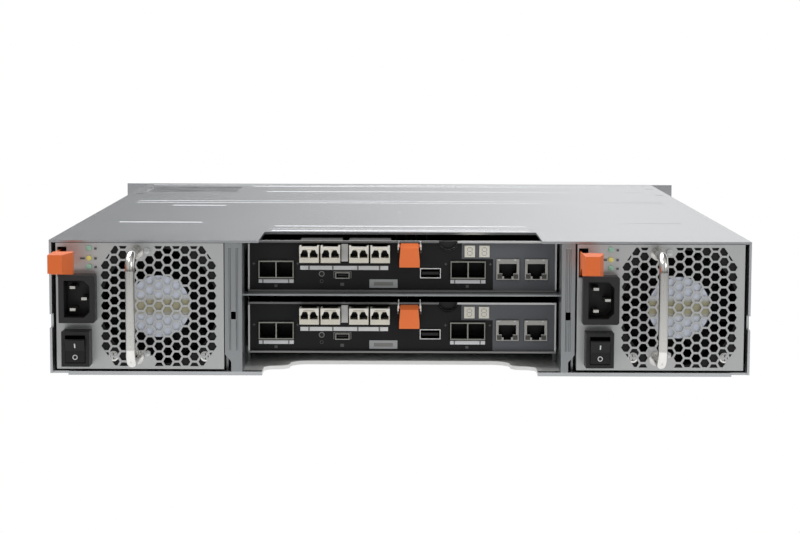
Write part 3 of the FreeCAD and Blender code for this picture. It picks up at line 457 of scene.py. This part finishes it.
def board_finish(name):
    """Green solder mask with faint tracks and paler pads."""
    b = Bench(name)
    tracks = b.node("ShaderNodeTexVoronoi", {"distance": "MANHATTAN", "feature": "F1"},
                    out="Distance", Vector=b.place, Scale=180.0)
    line = b.between(tracks, 0.35, 0.42, 0.02)
    cloud = b.noise(20.0, 3.0, 0.5)
    green = b.shaded(0.8 + cloud * 0.4, (0.012, 0.085, 0.035))
    colour = b.mix(line * 0.5, green, (0.03, 0.17, 0.07))
    return b.finish(colour, 0.35 + cloud * 0.1, None, line, 0.00005, 0.4)


def fan_label_finish(name, centre_z):
    """Paper disc on the motor hub: pale, with a plain olive band across it."""
    b = Bench(name)
    x, y, z = b.axes()
    up = z - (FLOOR_Z + centre_z * MM)
    band = b.between(up, -5.0 * MM, 5.0 * MM, 0.0015)
    fibre = b.noise(900.0, 3.0, 0.6)
    cloud = b.noise(60.0, 3.0, 0.5)
    pale = b.shaded(0.85 + cloud * 0.2, (0.80, 0.85, 0.96))
    olive = b.shaded(0.75 + cloud * 0.4, (0.48, 0.45, 0.30))
    return b.finish(b.mix(band, pale, olive), 0.5 + fibre * 0.15, None, fibre, 0.00003, 0.5)


def carrier_finish(name):
    """Dark powder-coated carrier with a bright disk body behind the bezel."""
    b = Bench(name)
    x, y, z = b.axes()
    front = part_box("drive_1_1")[1][1]
    behind = b.between(y, -1.0, front - 14.6 * MM)
    grain = b.noise(800.0, 2.0, 0.6)
    cloud = b.noise(20.0, 3.0, 0.5)
    dark = b.shaded(0.85 + cloud * 0.3, (0.055, 0.056, 0.060))
    disk = b.shaded(0.85 + cloud * 0.25, (0.50, 0.51, 0.52))
    return b.finish(b.mix(behind, dark, disk), 0.4 + cloud * 0.1, behind * 0.85, grain,
                    0.00005, 0.6)


def transceiver_finish(name, base):
    """Beige die-cast nose, black inside its ports, with a brighter wire bail."""
    b = Bench(name)
    x, y, z = b.axes()
    front = REAR + (FACE_IN - 12.0) * MM
    cloud = b.noise(120.0, 3.0, 0.5)
    grain = b.noise(900.0, 2.0, 0.6)
    port = b.between(y, front + 0.3 * MM, 1.0) * height_band(b, z, base, 23.1, 27.75)
    wire = b.between(y, -1.0, front - 1.0 * MM)
    beige = b.shaded(0.85 + cloud * 0.25, (0.80, 0.76, 0.66))
    colour = b.mix(port, b.mix(wire, beige, (0.93, 0.90, 0.82)), PORT_BLACK_AND_SHADE)
    metal = (1 - port) * (0.35 + wire * 0.3)
    return b.finish(colour, 0.30 + cloud * 0.12, metal, grain, 0.00004, 0.5)


board_green = board_finish("board_green")
carrier_dark = carrier_finish("carrier_dark")
print("mixed finishes made")

# %% [markdown]
# ## Dressing the CAD nodes
#
# Each CAD node keeps its shape. It gets its finish in its first material slot,
# and some get a very small bevel, because no real edge is perfectly sharp: the bevel is
# what catches the light along their folds. The CAD meshes are loose triangles, so
# a Weld modifier joins them first.


# %% Dress the nodes
def dress(node, material, bevel=0.0):
    """Give a CAD node its finish and, if asked, softened edges of so many millimetres."""
    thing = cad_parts[node]
    thing.data.materials.clear()
    thing.data.materials.append(material)
    if bevel:
        weld = thing.modifiers.new("weld", "WELD")
        weld.merge_threshold = 0.000002
        soft = thing.modifiers.new("soft_edges", "BEVEL")
        soft.width = bevel * MM
        soft.segments = 1
        soft.limit_method = "ANGLE"
        soft.angle_limit = math.radians(40)
        soft.harden_normals = False


dress("floor_pan", zinc_shell)
dress("rear_top_cover", zinc_rear)
dress("front_top_cover", zinc_front)
dress("rear_bay_frame", divider_steel, 0.2)
dress("drive_cage", plated_case)
dress("midplane_board", board_green)
for side, left in SUPPLIES.items():
    unit = "psu_%s_" % side
    dress(unit + "case", plated_case)
    dress(unit + "face", plated_face)
    dress(unit + "handle", rod_steel)
    dress(unit + "inlet", inlet_finish(unit + "inlet_black", left), 0.25)
    dress(unit + "switch_frame", black_plastic, 0.4)
    dress(unit + "rocker", rocker_plastic, 0.25)
    dress(unit + "latch", orange_tab)
    dress(unit + "fan_frame", fan_plastic)
    dress(unit + "fan_rotor", fan_plastic)
for which, base in CONTROLLERS.items():
    unit = "controller_%s_" % which
    dress(unit + "tray", tray_finish(unit + "tray_film", base))
    dress(unit + "board", board_green)
    dress(unit + "cages", cage_finish(unit + "cage_metal", base))
    dress(unit + "jacks", jack_finish(unit + "jack_metal", base))
    dress(unit + "transceivers", transceiver_finish(unit + "transceiver_metal", base), 0.2)
    dress(unit + "lever", orange_lever, 0.3)
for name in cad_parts:
    if name.startswith("drive_") and name != "drive_cage":
        dress(name, handle_plastic if name.endswith("handle") else carrier_dark)
print("all nodes dressed")

# %% [markdown]
# ## Modelling helpers
#
# New pieces start from a primitive and are shaped in edit mode, as by hand.
# Operators act on everything that is selected, so each piece starts with nothing
# selected. A finished piece sits at the origin with its place in its mesh.


# %% Modelling helpers
def clear():
    """Leave edit mode and select nothing."""
    if bpy.context.object and bpy.context.object.mode != "OBJECT":
        bpy.ops.object.mode_set(mode="OBJECT")
    bpy.ops.object.select_all(action="DESELECT")


def box_piece(x0, x1, y0, y1, z0, z1):
    """A box between two corners in millimetres, left selected."""
    clear()
    middle = at((x0 + x1) / 2, (y0 + y1) / 2, (z0 + z1) / 2)
    bpy.ops.mesh.primitive_cube_add(size=1.0, location=middle)
    piece = bpy.context.object
    piece.scale = ((x1 - x0) * MM, (y1 - y0) * MM, (z1 - z0) * MM)
    bpy.ops.object.transform_apply(location=True, rotation=True, scale=True)
    return piece


def disc_piece(x, y, z, radius, depth, sides=32, turn="Y"):
    """A short cylinder whose rear face is at y, lying along Y (or standing along Z)."""
    clear()
    spin = (math.radians(90), 0, 0) if turn == "Y" else (0, 0, 0)
    shift = (0, depth / 2, 0) if turn == "Y" else (0, 0, -depth / 2)
    bpy.ops.mesh.primitive_cylinder_add(vertices=sides, radius=radius * MM, depth=depth * MM,
                                        location=at(x + shift[0], y + shift[1], z + shift[2]),
                                        rotation=spin)
    piece = bpy.context.object
    bpy.ops.object.transform_apply(location=True, rotation=True, scale=True)
    return piece


def edit_faces(piece, test):
    """Enter edit mode with just the faces that pass the test selected."""
    clear()
    piece.select_set(True)
    bpy.context.view_layer.objects.active = piece
    bpy.ops.object.mode_set(mode="EDIT")
    bpy.ops.mesh.select_mode(type="FACE")
    bpy.ops.mesh.select_all(action="DESELECT")
    bpy.ops.object.mode_set(mode="OBJECT")
    for polygon in piece.data.polygons:
        polygon.select = test(polygon)
    bpy.ops.object.mode_set(mode="EDIT")


def outward(polygon):
    """Faces that look towards the viewer at the rear."""
    return polygon.normal.y < -0.9


def upward(polygon):
    """Faces that look up."""
    return polygon.normal.z > 0.9


def soften(piece, width, segments, angle=30):
    """Apply a bevel to the piece's sharp edges and smooth its shading."""
    clear()
    piece.select_set(True)
    bpy.context.view_layer.objects.active = piece
    soft = piece.modifiers.new("soft", "BEVEL")
    soft.width = width * MM
    soft.segments = segments
    soft.limit_method = "ANGLE"
    soft.angle_limit = math.radians(angle)
    bpy.ops.object.modifier_apply(modifier="soft")
    bpy.ops.object.shade_smooth_by_angle(angle=math.radians(35))


def settle(piece, name, material, body):
    """Name a finished piece, give it its finish and let it ride on its body."""
    clear()
    piece.name = name
    piece.data.name = name
    piece.data.materials.clear()
    piece.data.materials.append(material)
    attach(piece, body)
    return piece


def join(pieces):
    """Make one mesh of several pieces."""
    clear()
    for piece in pieces:
        piece.select_set(True)
    bpy.context.view_layer.objects.active = pieces[0]
    if len(pieces) > 1:
        bpy.ops.object.join()
    return bpy.context.object


def copy_to(model, offset):
    """A copy of a finished piece with its own mesh, moved by millimetres."""
    twin = model.copy()
    twin.data = model.data.copy()
    bpy.context.collection.objects.link(twin)
    twin.data.transform(Matrix.Translation(Vector(offset) * MM))
    return twin


# %% [markdown]
# ## Screws
#
# The covers and fan are held by small pan-head screws with a cross recess. One
# screw is modelled: a cylinder with its top rim bevelled and a round recess pressed in
# by inset and a push inward, with dark bars laid in it as painted shade for the cross.
# It is then copied to each place, with a mesh of its own.


# %% Screw model
def pan_screw(radius, facing):
    """A cross-head screw at the origin of the plan, facing the rear or up."""
    turn = "Y" if facing == "rear" else "Z"
    head = disc_piece(0, 0, 0, radius, 0.9, 24, turn)
    look = outward if facing == "rear" else upward
    edit_faces(head, look)
    bpy.ops.mesh.inset(thickness=radius * 0.35 * MM)
    bpy.ops.mesh.inset(thickness=radius * 0.12 * MM)
    into = (0, 0.45 * MM, 0) if facing == "rear" else (0, 0, -0.45 * MM)
    bpy.ops.transform.translate(value=into)
    clear()
    soften(head, 0.22, 2, 50)
    return head


def cross_shade_bars(radius, facing):
    """Two thin dark bars in the recess: painted shade that reads as its cross."""
    arm = radius * 0.5
    if facing == "rear":
        bars = [box_piece(-arm, arm, 0.10, 0.5, -0.25, 0.25),
                box_piece(-0.25, 0.25, 0.10, 0.5, -arm, arm)]
    else:
        bars = [box_piece(-arm, arm, -0.25, 0.25, -0.5, -0.10),
                box_piece(-0.25, 0.25, -arm, arm, -0.5, -0.10)]
    cross = join(bars)
    soften(cross, 0.05, 1)
    return cross


def scatter(model, places, name, material, body):
    """Copies of a model at many places, joined as one piece."""
    copies = [copy_to(model, place) for place in places]
    return settle(join(copies), name, material, body)


FAN_SCREW_RADIUS = 3.4
COVER_SCREW_RADIUS = 3.2
GRILLE_BACK = 1.3
FAN_HOLES = 29.3            # from the fan's middle, across
FAN_HOLES_DOWN = 32.0
rear_screw = pan_screw(FAN_SCREW_RADIUS, "rear")
# Dark bars as painted shade in each screw's cross recess.
rear_cross_shade = cross_shade_bars(FAN_SCREW_RADIUS, "rear")
top_screw = pan_screw(COVER_SCREW_RADIUS, "up")
top_cross_shade = cross_shade_bars(COVER_SCREW_RADIUS, "up")

for side, left in SUPPLIES.items():
    body = "psu_" + side
    places = [(left + FAN_IN_X + across * FAN_HOLES, GRILLE_BACK, FAN_UP - FAN_HOLES_DOWN)
              for across in (-1, 1)]
    scatter(rear_screw, places, body + "_fan_screws", bright_steel, body)
    # Painted shade in the fan screws' recesses.
    scatter(rear_cross_shade, places, body + "_fan_screw_cross", black_plastic, body)
cover_places = [(-152, 422, TOP), (215, 425, TOP), (215, 500, TOP), (-215, 425, TOP),
                (-215, 500, TOP)]
scatter(top_screw, cover_places, "cover_screws", screw_steel, "chassis")
# Painted shade in the cover screws' recesses.
scatter(top_cross_shade, cover_places, "cover_screw_cross_shade", black_plastic, "chassis")
print("screws placed")
for model in (rear_screw, rear_cross_shade, top_screw, top_cross_shade):
    bpy.data.objects.remove(model)

# %% [markdown]
# ## Lamps
#
# Each supply has three small light pipes: green, yellow, green. A light pipe is a
# clear coloured rod with a domed end, so a cylinder's rear face is inset and
# pushed out twice to make the dome.


# %% Lamps
def lens_finish(name, tone):
    """Clear coloured plastic with a faint glow."""
    b = Bench(name, Coat_Weight=0.4)
    b.shader.inputs["Emission Strength"].default_value = 0.25
    b.shader.inputs["Emission Color"].default_value = (*tone, 1)
    cloud = b.noise(300.0, 2.0, 0.5)
    return b.finish(b.shaded(0.8 + cloud * 0.3, tone), 0.25 + cloud * 0.1, None, cloud,
                    0.00003, 0.3)


def lamp(x, z, radius):
    """A domed lens in a hole of the face."""
    lens = disc_piece(x, -0.7, z, radius, 2.2, 24)
    edit_faces(lens, outward)
    bpy.ops.mesh.inset(thickness=radius * 0.3 * MM)
    bpy.ops.transform.translate(value=(0, -0.35 * MM, 0))
    bpy.ops.mesh.inset(thickness=radius * 0.35 * MM)
    bpy.ops.transform.translate(value=(0, -0.15 * MM, 0))
    clear()
    soften(lens, 0.1, 1, 50)
    return lens


def plate_on_face(x0, x1, z0, z1):
    """A printed mark on a supply's face, with softened corners."""
    mark = box_piece(x0, x1, -0.06, 0.0, z0, z1)
    soften(mark, 0.02, 1)
    return mark


LAMP_IN_X = 21.2
LAMP_RADIUS = 1.62
lens_green = lens_finish("lens_green", (0.24, 0.42, 0.31))
lens_amber = lens_finish("lens_amber", (0.60, 0.52, 0.14))
for side, left in SUPPLIES.items():
    body = "psu_" + side
    for row, (height, finish) in enumerate(((81.3, lens_green), (74.9, lens_amber),
                                            (69.5, lens_green))):
        settle(lamp(left + LAMP_IN_X, height, LAMP_RADIUS), "%s_lamp_%d" % (body, row + 1),
               finish, body)
    icons = [plate_on_face(left + 24.6, left + 26.2, height - 0.7, height + 0.7)
             for height in (81.0, 74.7, 69.2)]
    icons.append(plate_on_face(left + 15.6, left + 18.7, 74.2, 75.3))
    settle(join(icons), body + "_lamp_marks", label_dim, body)
print("six lamps and their marks made")

# %% [markdown]
# ## Fan label
#
# The motor hub carries a round paper label. It is left plain: pale paper with an
# olive band. A thin disc with a softened rim is enough, but it must ride on the
# rotor, because it turns with the fan.

# %% Fan label
for side, left in SUPPLIES.items():
    front = corner("psu_%s_fan_rotor" % side)[1]
    disc = disc_piece(left + FAN_IN_X, front - 0.18, FAN_UP, 19.7, 0.18, 64)
    soften(disc, 0.06, 1)
    settle(disc, "psu_%s_fan_label" % side,
           fan_label_finish("psu_%s_label_paper" % side, FAN_UP),
           "psu_%s_fan" % side)
print("fan labels made")

# %% [markdown]
# ## Marks on the rockers
#
# A mains switch is marked with a bar for on and a ring for off. They are raised a
# hair above the rocker. The rocker's dished face tips with the rocker, so the
# marks are turned by the same lean about its cross pin, and ride on it.

# %% Rocker marks
LEAN = math.radians(9.0)        # how far the rocker lies over
DISH = math.radians(12.0)       # slope of each half of the rocker's face
ROCKER_X = 13.8                 # its middle, from the supply's left edge
PIN_IN = SWITCH_LOW[1] + 5.0
PIN_UP = (SWITCH_LOW[2] + SWITCH_HIGH[2]) / 2


def lean(thing, about, angle):
    """Turn a piece's mesh by an angle about a cross axis through a point."""
    thing.data.transform(Matrix.Translation(about) @ Matrix.Rotation(angle, 4, "X")
                         @ Matrix.Translation(-about))


for side, left in SUPPLIES.items():
    body = "psu_%s_rocker" % side
    x = left + ROCKER_X
    bar = box_piece(x - 0.4, x + 0.4, PIN_IN - 6.95, PIN_IN - 6.5, PIN_UP + 2.1, PIN_UP + 5.1)
    soften(bar, 0.12, 1)
    lean(bar, at(x, PIN_IN - 6.72, PIN_UP + 3.6), DISH)
    clear()
    bpy.ops.mesh.primitive_torus_add(major_segments=28, minor_segments=8,
                                     major_radius=1.35 * MM, minor_radius=0.28 * MM,
                                     location=at(x, PIN_IN - 6.75, PIN_UP - 3.9),
                                     rotation=(math.radians(90) - DISH, 0, 0))
    hoop = bpy.context.object
    bpy.ops.object.transform_apply(location=True, rotation=True, scale=True)
    marks = join([bar, hoop])
    lean(marks, at(x, PIN_IN, PIN_UP), LEAN)
    bpy.ops.object.shade_smooth_by_angle(angle=math.radians(35))
    settle(marks, body + "_marks", mark_white, body)
print("rocker marks made")

# %% [markdown]
# ## Handle feet
#
# The rod handle is held by a small rounded nut beside each foot.

# %% Handle feet
for side, left in SUPPLIES.items():
    body = "psu_" + side
    for level, height in (("low", 14.3), ("high", 79.7)):
        nut = disc_piece(left + 58.2, -2.6, height, 2.1, 2.6, 6)
        soften(nut, 0.4, 2)
        settle(nut, "%s_handle_foot_%s" % (body, level), plated_face, body)
print("handle feet made")

# %% [markdown]
# ## Labels and frames on the controllers
#
# Under the transceivers runs a pale strip with divisions, and there are two more
# by the storage ports and a grey plate lower right. All are left blank. A label
# is a very thin plate with rounded corners; divisions are dark slivers on it.


# %% Controller labels
def plate(x0, x1, z0, z1, proud, deep=0.12):
    """A thin label on the port face."""
    label = box_piece(x0, x1, FACE_IN - proud, FACE_IN - proud + deep, z0, z1)
    edit_faces(label, outward)
    bpy.ops.mesh.inset(thickness=0.25 * MM)
    bpy.ops.transform.translate(value=(0, -0.03 * MM, 0))
    clear()
    soften(label, 0.03, 1)
    return label


for which, base in CONTROLLERS.items():
    body = "controller_" + which
    strips = [plate(-64.6, -7.8, base + 14.0, base + 16.6, 0.3),
              plate(-91.5, -68.9, base + 5.4, base + 7.8, 0.3),
              plate(32.5, 55.1, base + 5.4, base + 7.8, 0.3)]
    settle(join(strips), body + "_label_strips", label_white, body)
    ticks = [plate(x - 0.5, x + 0.5, base + 14.1, base + 16.5, 0.45)
             for x in (-59.0, -43.6, -27.4, -13.4)]
    ticks += [plate(x - 0.4, x + 0.4, base + 5.5, base + 7.7, 0.45)
              for x in (-88.8, -72.1, 35.2, 51.9)]
    ticks.append(plate(-17.0, -4.6, base + 3.9, base + 6.2, 0.42))
    settle(join(ticks), body + "_label_divisions", outline_grey, body)
    settle(plate(-19.9, -1.7, base + 2.4, base + 7.9, 0.3), body + "_grey_plate", label_grey,
           body)
print("controller labels made")

# %% [markdown]
# ## Small marks and port trims
#
# Beside each storage port stand two dim crosses and under it a small square, all
# printed. The mini-USB mouth and the service socket have thin grey outlines, and the
# network jacks have light pipes in their corners. On the bails of the transceivers,
# painted highlights stand at the corners and on the web between the ports.


# %% Marks and trims
def ring(x, z, outer, inner, proud):
    """A thin flat ring on the port face."""
    disc = disc_piece(x, FACE_IN - proud, z, outer, 0.2, 24)
    edit_faces(disc, outward)
    bpy.ops.mesh.inset(thickness=(outer - inner) * MM)
    bpy.ops.transform.translate(value=(0, 0.15 * MM, 0))
    clear()
    return disc


for which, base in CONTROLLERS.items():
    body = "controller_" + which
    marks = []
    for x in (-94.6, -66.3, 29.4, 58.2):
        marks += [plate(x - 0.9, x + 0.9, base + 17.7, base + 18.1, 0.12, 0.06),
                  plate(x - 0.2, x + 0.2, base + 17.0, base + 18.8, 0.13, 0.06)]
    for x in (-80.4, 43.4):
        marks.append(plate(x - 1.0, x + 1.0, base + 2.6, base + 4.4, 0.12, 0.06))
    marks.append(plate(-38.7, -36.3, base + 3.6, base + 5.6, 0.12, 0.06))
    marks.append(ring(SOCKET_X, base + 6.6, 1.2, 0.8, 0.12))
    settle(join(marks), body + "_dim_marks", label_dim, body)
    outline = [plate(-43.1, -31.6, base + 12.8, base + 13.2, 0.3),
               plate(-43.1, -42.6, base + 8.6, base + 13.0, 0.3),
               plate(-32.1, -31.6, base + 8.6, base + 13.0, 0.3),
               ring(SOCKET_X, base + SOCKET_UP, 1.9, 1.35, 0.3)]
    settle(join(outline), body + "_port_outlines", outline_grey, body)
    hole = disc_piece(SOCKET_X, FACE_IN - 0.26, base + SOCKET_UP, 1.3, 0.2, 24)
    soften(hole, 0.03, 1)
    settle(hole, body + "_service_socket", black_plastic, body)
    pipes = []
    glints = []
    for left, right in JACK_PORTS:
        for x in (left + 0.9, right - 3.9):
            pipes.append(plate(x, x + 3.0, base + 8.6, base + 11.6, 1.16, 0.3))
            glints.append(plate(x + 0.3, x + 1.7, base + 20.5, base + 21.2, 1.2, 0.3))
    settle(join(pipes), body + "_light_pipes", pipe_grey, body)
    settle(join(glints), body + "_top_pipes", mark_white, body)
    # Painted highlights: bright slivers at the bail corners and on the web between the ports.
    shine = []
    for k in range(4):
        left = NOSE_LEFT + k * NOSE_PITCH + (NOSE_GAP if k > 1 else 0.0)
        for x0, x1, low, high in ((0.7, 3.3, 29.0, 30.0), (9.9, 12.5, 29.0, 30.0),
                                  (6.15, 7.05, 23.3, 28.0)):
            shine.append(box_piece(left + x0, left + x1, FACE_IN - 12.12, FACE_IN - 11.9,
                                   base + low, base + high))
    glint = join(shine)
    soften(glint, 0.04, 1)
    settle(glint, body + "_bail_glints", bail_highlight, body)
print("marks and trims made")

# %% [markdown]
# ## Spring wire of the release levers
#
# A thin bright wire runs up at each side of a lever. The two are slim rods with
# rounded edges, joined as one piece.

# %% Lever wires
for which, base in CONTROLLERS.items():
    body = "controller_" + which
    top = min(base + 35.4, TOP - 1.8)
    rods = [box_piece(x - 0.35, x + 0.35, FACE_IN - 5.6, FACE_IN - 4.9, base + 29.6, top)
            for x in LEVER_WIRE_X]
    wire = join(rods)
    soften(wire, 0.2, 2)
    settle(wire, body + "_lever_wire", bright_steel, body)
print("lever wires made")

# %% [markdown]
# ## Finger recess
#
# Beside each lever the face is scooped out in a half round, with a thin moulded
# rim. A cylinder is cut in half with bisect and its front face is inset and
# pushed in, which leaves the rim standing.

# %% Finger recess
for which, base in CONTROLLERS.items():
    body = "controller_" + which
    cup = disc_piece(RECESS_X, FACE_IN - 1.2, base + 33.6, 7.1, 6.0, 48)
    edit_faces(cup, outward)
    bpy.ops.mesh.inset(thickness=0.9 * MM)
    bpy.ops.transform.translate(value=(0, 5.0 * MM, 0))
    bpy.ops.mesh.select_all(action="SELECT")
    bpy.ops.mesh.bisect(plane_co=at(RECESS_X, 0, base + 32.6), plane_no=(0, 0, 1),
                        use_fill=True, clear_outer=True)
    clear()
    soften(cup, 0.15, 1)
    settle(cup, body + "_finger_recess", black_plastic, body)
    ends = [box_piece(x - 1.0, x + 1.0, FACE_IN - 0.5, FACE_IN - 0.2, base + 31.9, base + 32.8)
            for x in (RECESS_X - 6.9, RECESS_X + 6.9)]
    lip = join(ends)
    soften(lip, 0.1, 1)
    settle(lip, body + "_recess_ends", bright_steel, body)
print("finger recesses made")

# %% [markdown]
# ## Display segments
#
# Each display block shows two unlit seven-segment digits. A segment is a thin
# flat bar; seven of them make a figure eight, slightly darker than the block.

# %% Display segments
for which, base in CONTROLLERS.items():
    body = "controller_" + which
    bars = []
    for centre in DIGIT_X:
        middle = base + DIGIT_UP
        for height in (-2.4, 0.0, 2.4):
            bars.append(box_piece(centre - 1.1, centre + 1.1, FACE_IN - 0.72, FACE_IN - 0.5,
                                  middle + height - 0.22, middle + height + 0.22))
        for across in (-1.5, 1.5):
            for height in (-1.2, 1.2):
                bars.append(box_piece(centre + across - 0.22, centre + across + 0.22,
                                      FACE_IN - 0.72, FACE_IN - 0.5,
                                      middle + height - 0.9, middle + height + 0.9))
    digits = join(bars)
    soften(digits, 0.05, 1)
    segment = moulded("segment_" + which, (0.42, 0.42, 0.38), 0.4)
    settle(digits, body + "_digits", segment, body)
print("display segments made")

# %% [markdown]
# ## The drive end
#
# Each carrier has two small lamps beside its vents, and they ride on the carrier.

# %% Drive lamps
for column in range(1, 5):
    for row in range(1, 4):
        body = "drive_%d_%d" % (column, row)
        high = corner(body, 1)
        middle = (corner(body)[0] + high[0]) / 2
        lens = join([disc_piece(middle + across, high[1] - 0.6, high[2] - 5.7, 1.1, 0.8, 16)
                     for across in (-50.0, -46.6)])
        soften(lens, 0.2, 2)
        settle(lens, body + "_lamps", lens_green, body)
print("drive end dressed")

# %% [markdown]
# ## Light and camera
#
# The object stands in a white space without a floor. Steel shows what surrounds
# it, so most of the look comes from the world: grey values that depend on the
# direction, brighter to the right, so that the covers shade from darker on the
# left to lighter on the right, with one bright patch overhead that lights up the
# pressed lines. The camera itself sees plain white. Two area lights add form.

# %% Stage
clear()


class Sky(Bench):
    """The same socket arithmetic, for the light that comes from all round."""

    def __init__(self, world):
        world.use_nodes = True
        self.tree = world.node_tree
        self.shader = self.tree.nodes["Background"]
        self.place = self.node("ShaderNodeTexCoord", out="Generated")


studio = bpy.data.worlds.new("studio")
bpy.context.scene.world = studio
sky = Sky(studio)
right, beyond, up = sky.axes()
above = up.math("MAXIMUM", 0.0)
near = 0.5 - beyond * 0.5
ahead = sky.between(beyond, 0.15, 2.0, 0.15)
low_sky = sky.between(up, -0.05, 0.42, 0.05)
slant = (right * 3.6 + 0.50).math("MAXIMUM", 0.08).math("MINIMUM", 0.86)
gleam = sky.between(up, 0.50, 0.97, 0.06) * sky.between(right, -1.0, 0.075, 0.012)
dim_right = 1 - sky.between(right, 0.080, 1.0, 0.02) * sky.between(beyond, 0.0, 2.0, 0.1) * 0.8
room = near * (0.13 + sky.between(up, 0.10, 2.0, 0.05) * 0.30) + above * 0.30 * dim_right
room = room + ahead * low_sky * slant + ahead * gleam * 3.6
dark_wall = sky.between(right, -0.10, 0.09, 0.03) * sky.between(beyond, -1.1, -0.6, 0.1)
room = room * (1 - dark_wall * sky.between(up, -0.175, 1.0, 0.02) * 0.80)
room = room + sky.between(up, -1.0, -0.125, 0.025) * 0.90      # pale floor in reflections
seen = sky.node("ShaderNodeLightPath", out="Is Camera Ray")
light = room * (1 - seen) + seen
sky.feed(sky.shader.inputs["Color"], sky.node("ShaderNodeCombineColor", Red=light, Green=light,
                                              Blue=light))
bpy.context.scene.view_settings.view_transform = "Standard"


def softbox(name, where, aim, size, power):
    """An area light at a place, facing a point."""
    lamp_data = bpy.data.lights.new(name, "AREA")
    lamp_data.shape = "RECTANGLE"
    lamp_data.size, lamp_data.size_y = size
    lamp_data.energy = power
    light = bpy.data.objects.new(name, lamp_data)
    bpy.context.collection.objects.link(light)
    light.location = where
    light.rotation_euler = (Vector(aim) - Vector(where)).to_track_quat("-Z", "Y").to_euler()


softbox("key_right", (1.6, -1.6, 1.5), (0.1, 0, 0), (0.8, 0.8), 9)
softbox("top_left", (-1.0, -0.8, 1.9), (0, 0.0, 0.05), (1.2, 0.5), 7)

camera_data = bpy.data.cameras.new("camera")
camera = bpy.data.objects.new("camera", camera_data)
bpy.context.collection.objects.link(camera)
bpy.context.scene.camera = camera
camera_data.sensor_width = 36.0
camera_data.lens = 97.84
camera_data.clip_start = 0.05
camera.location = at(-2.21, -1371.8, 211.78)
TILT_DOWN, ROLL, TURN = 0.1028, -0.0034, -0.0011
camera.rotation_euler = (math.radians(90) - TILT_DOWN, ROLL, TURN)
print("stage, lights and camera ready")

# %% [markdown]
# ## Closing

# %% Close
print("script finished")
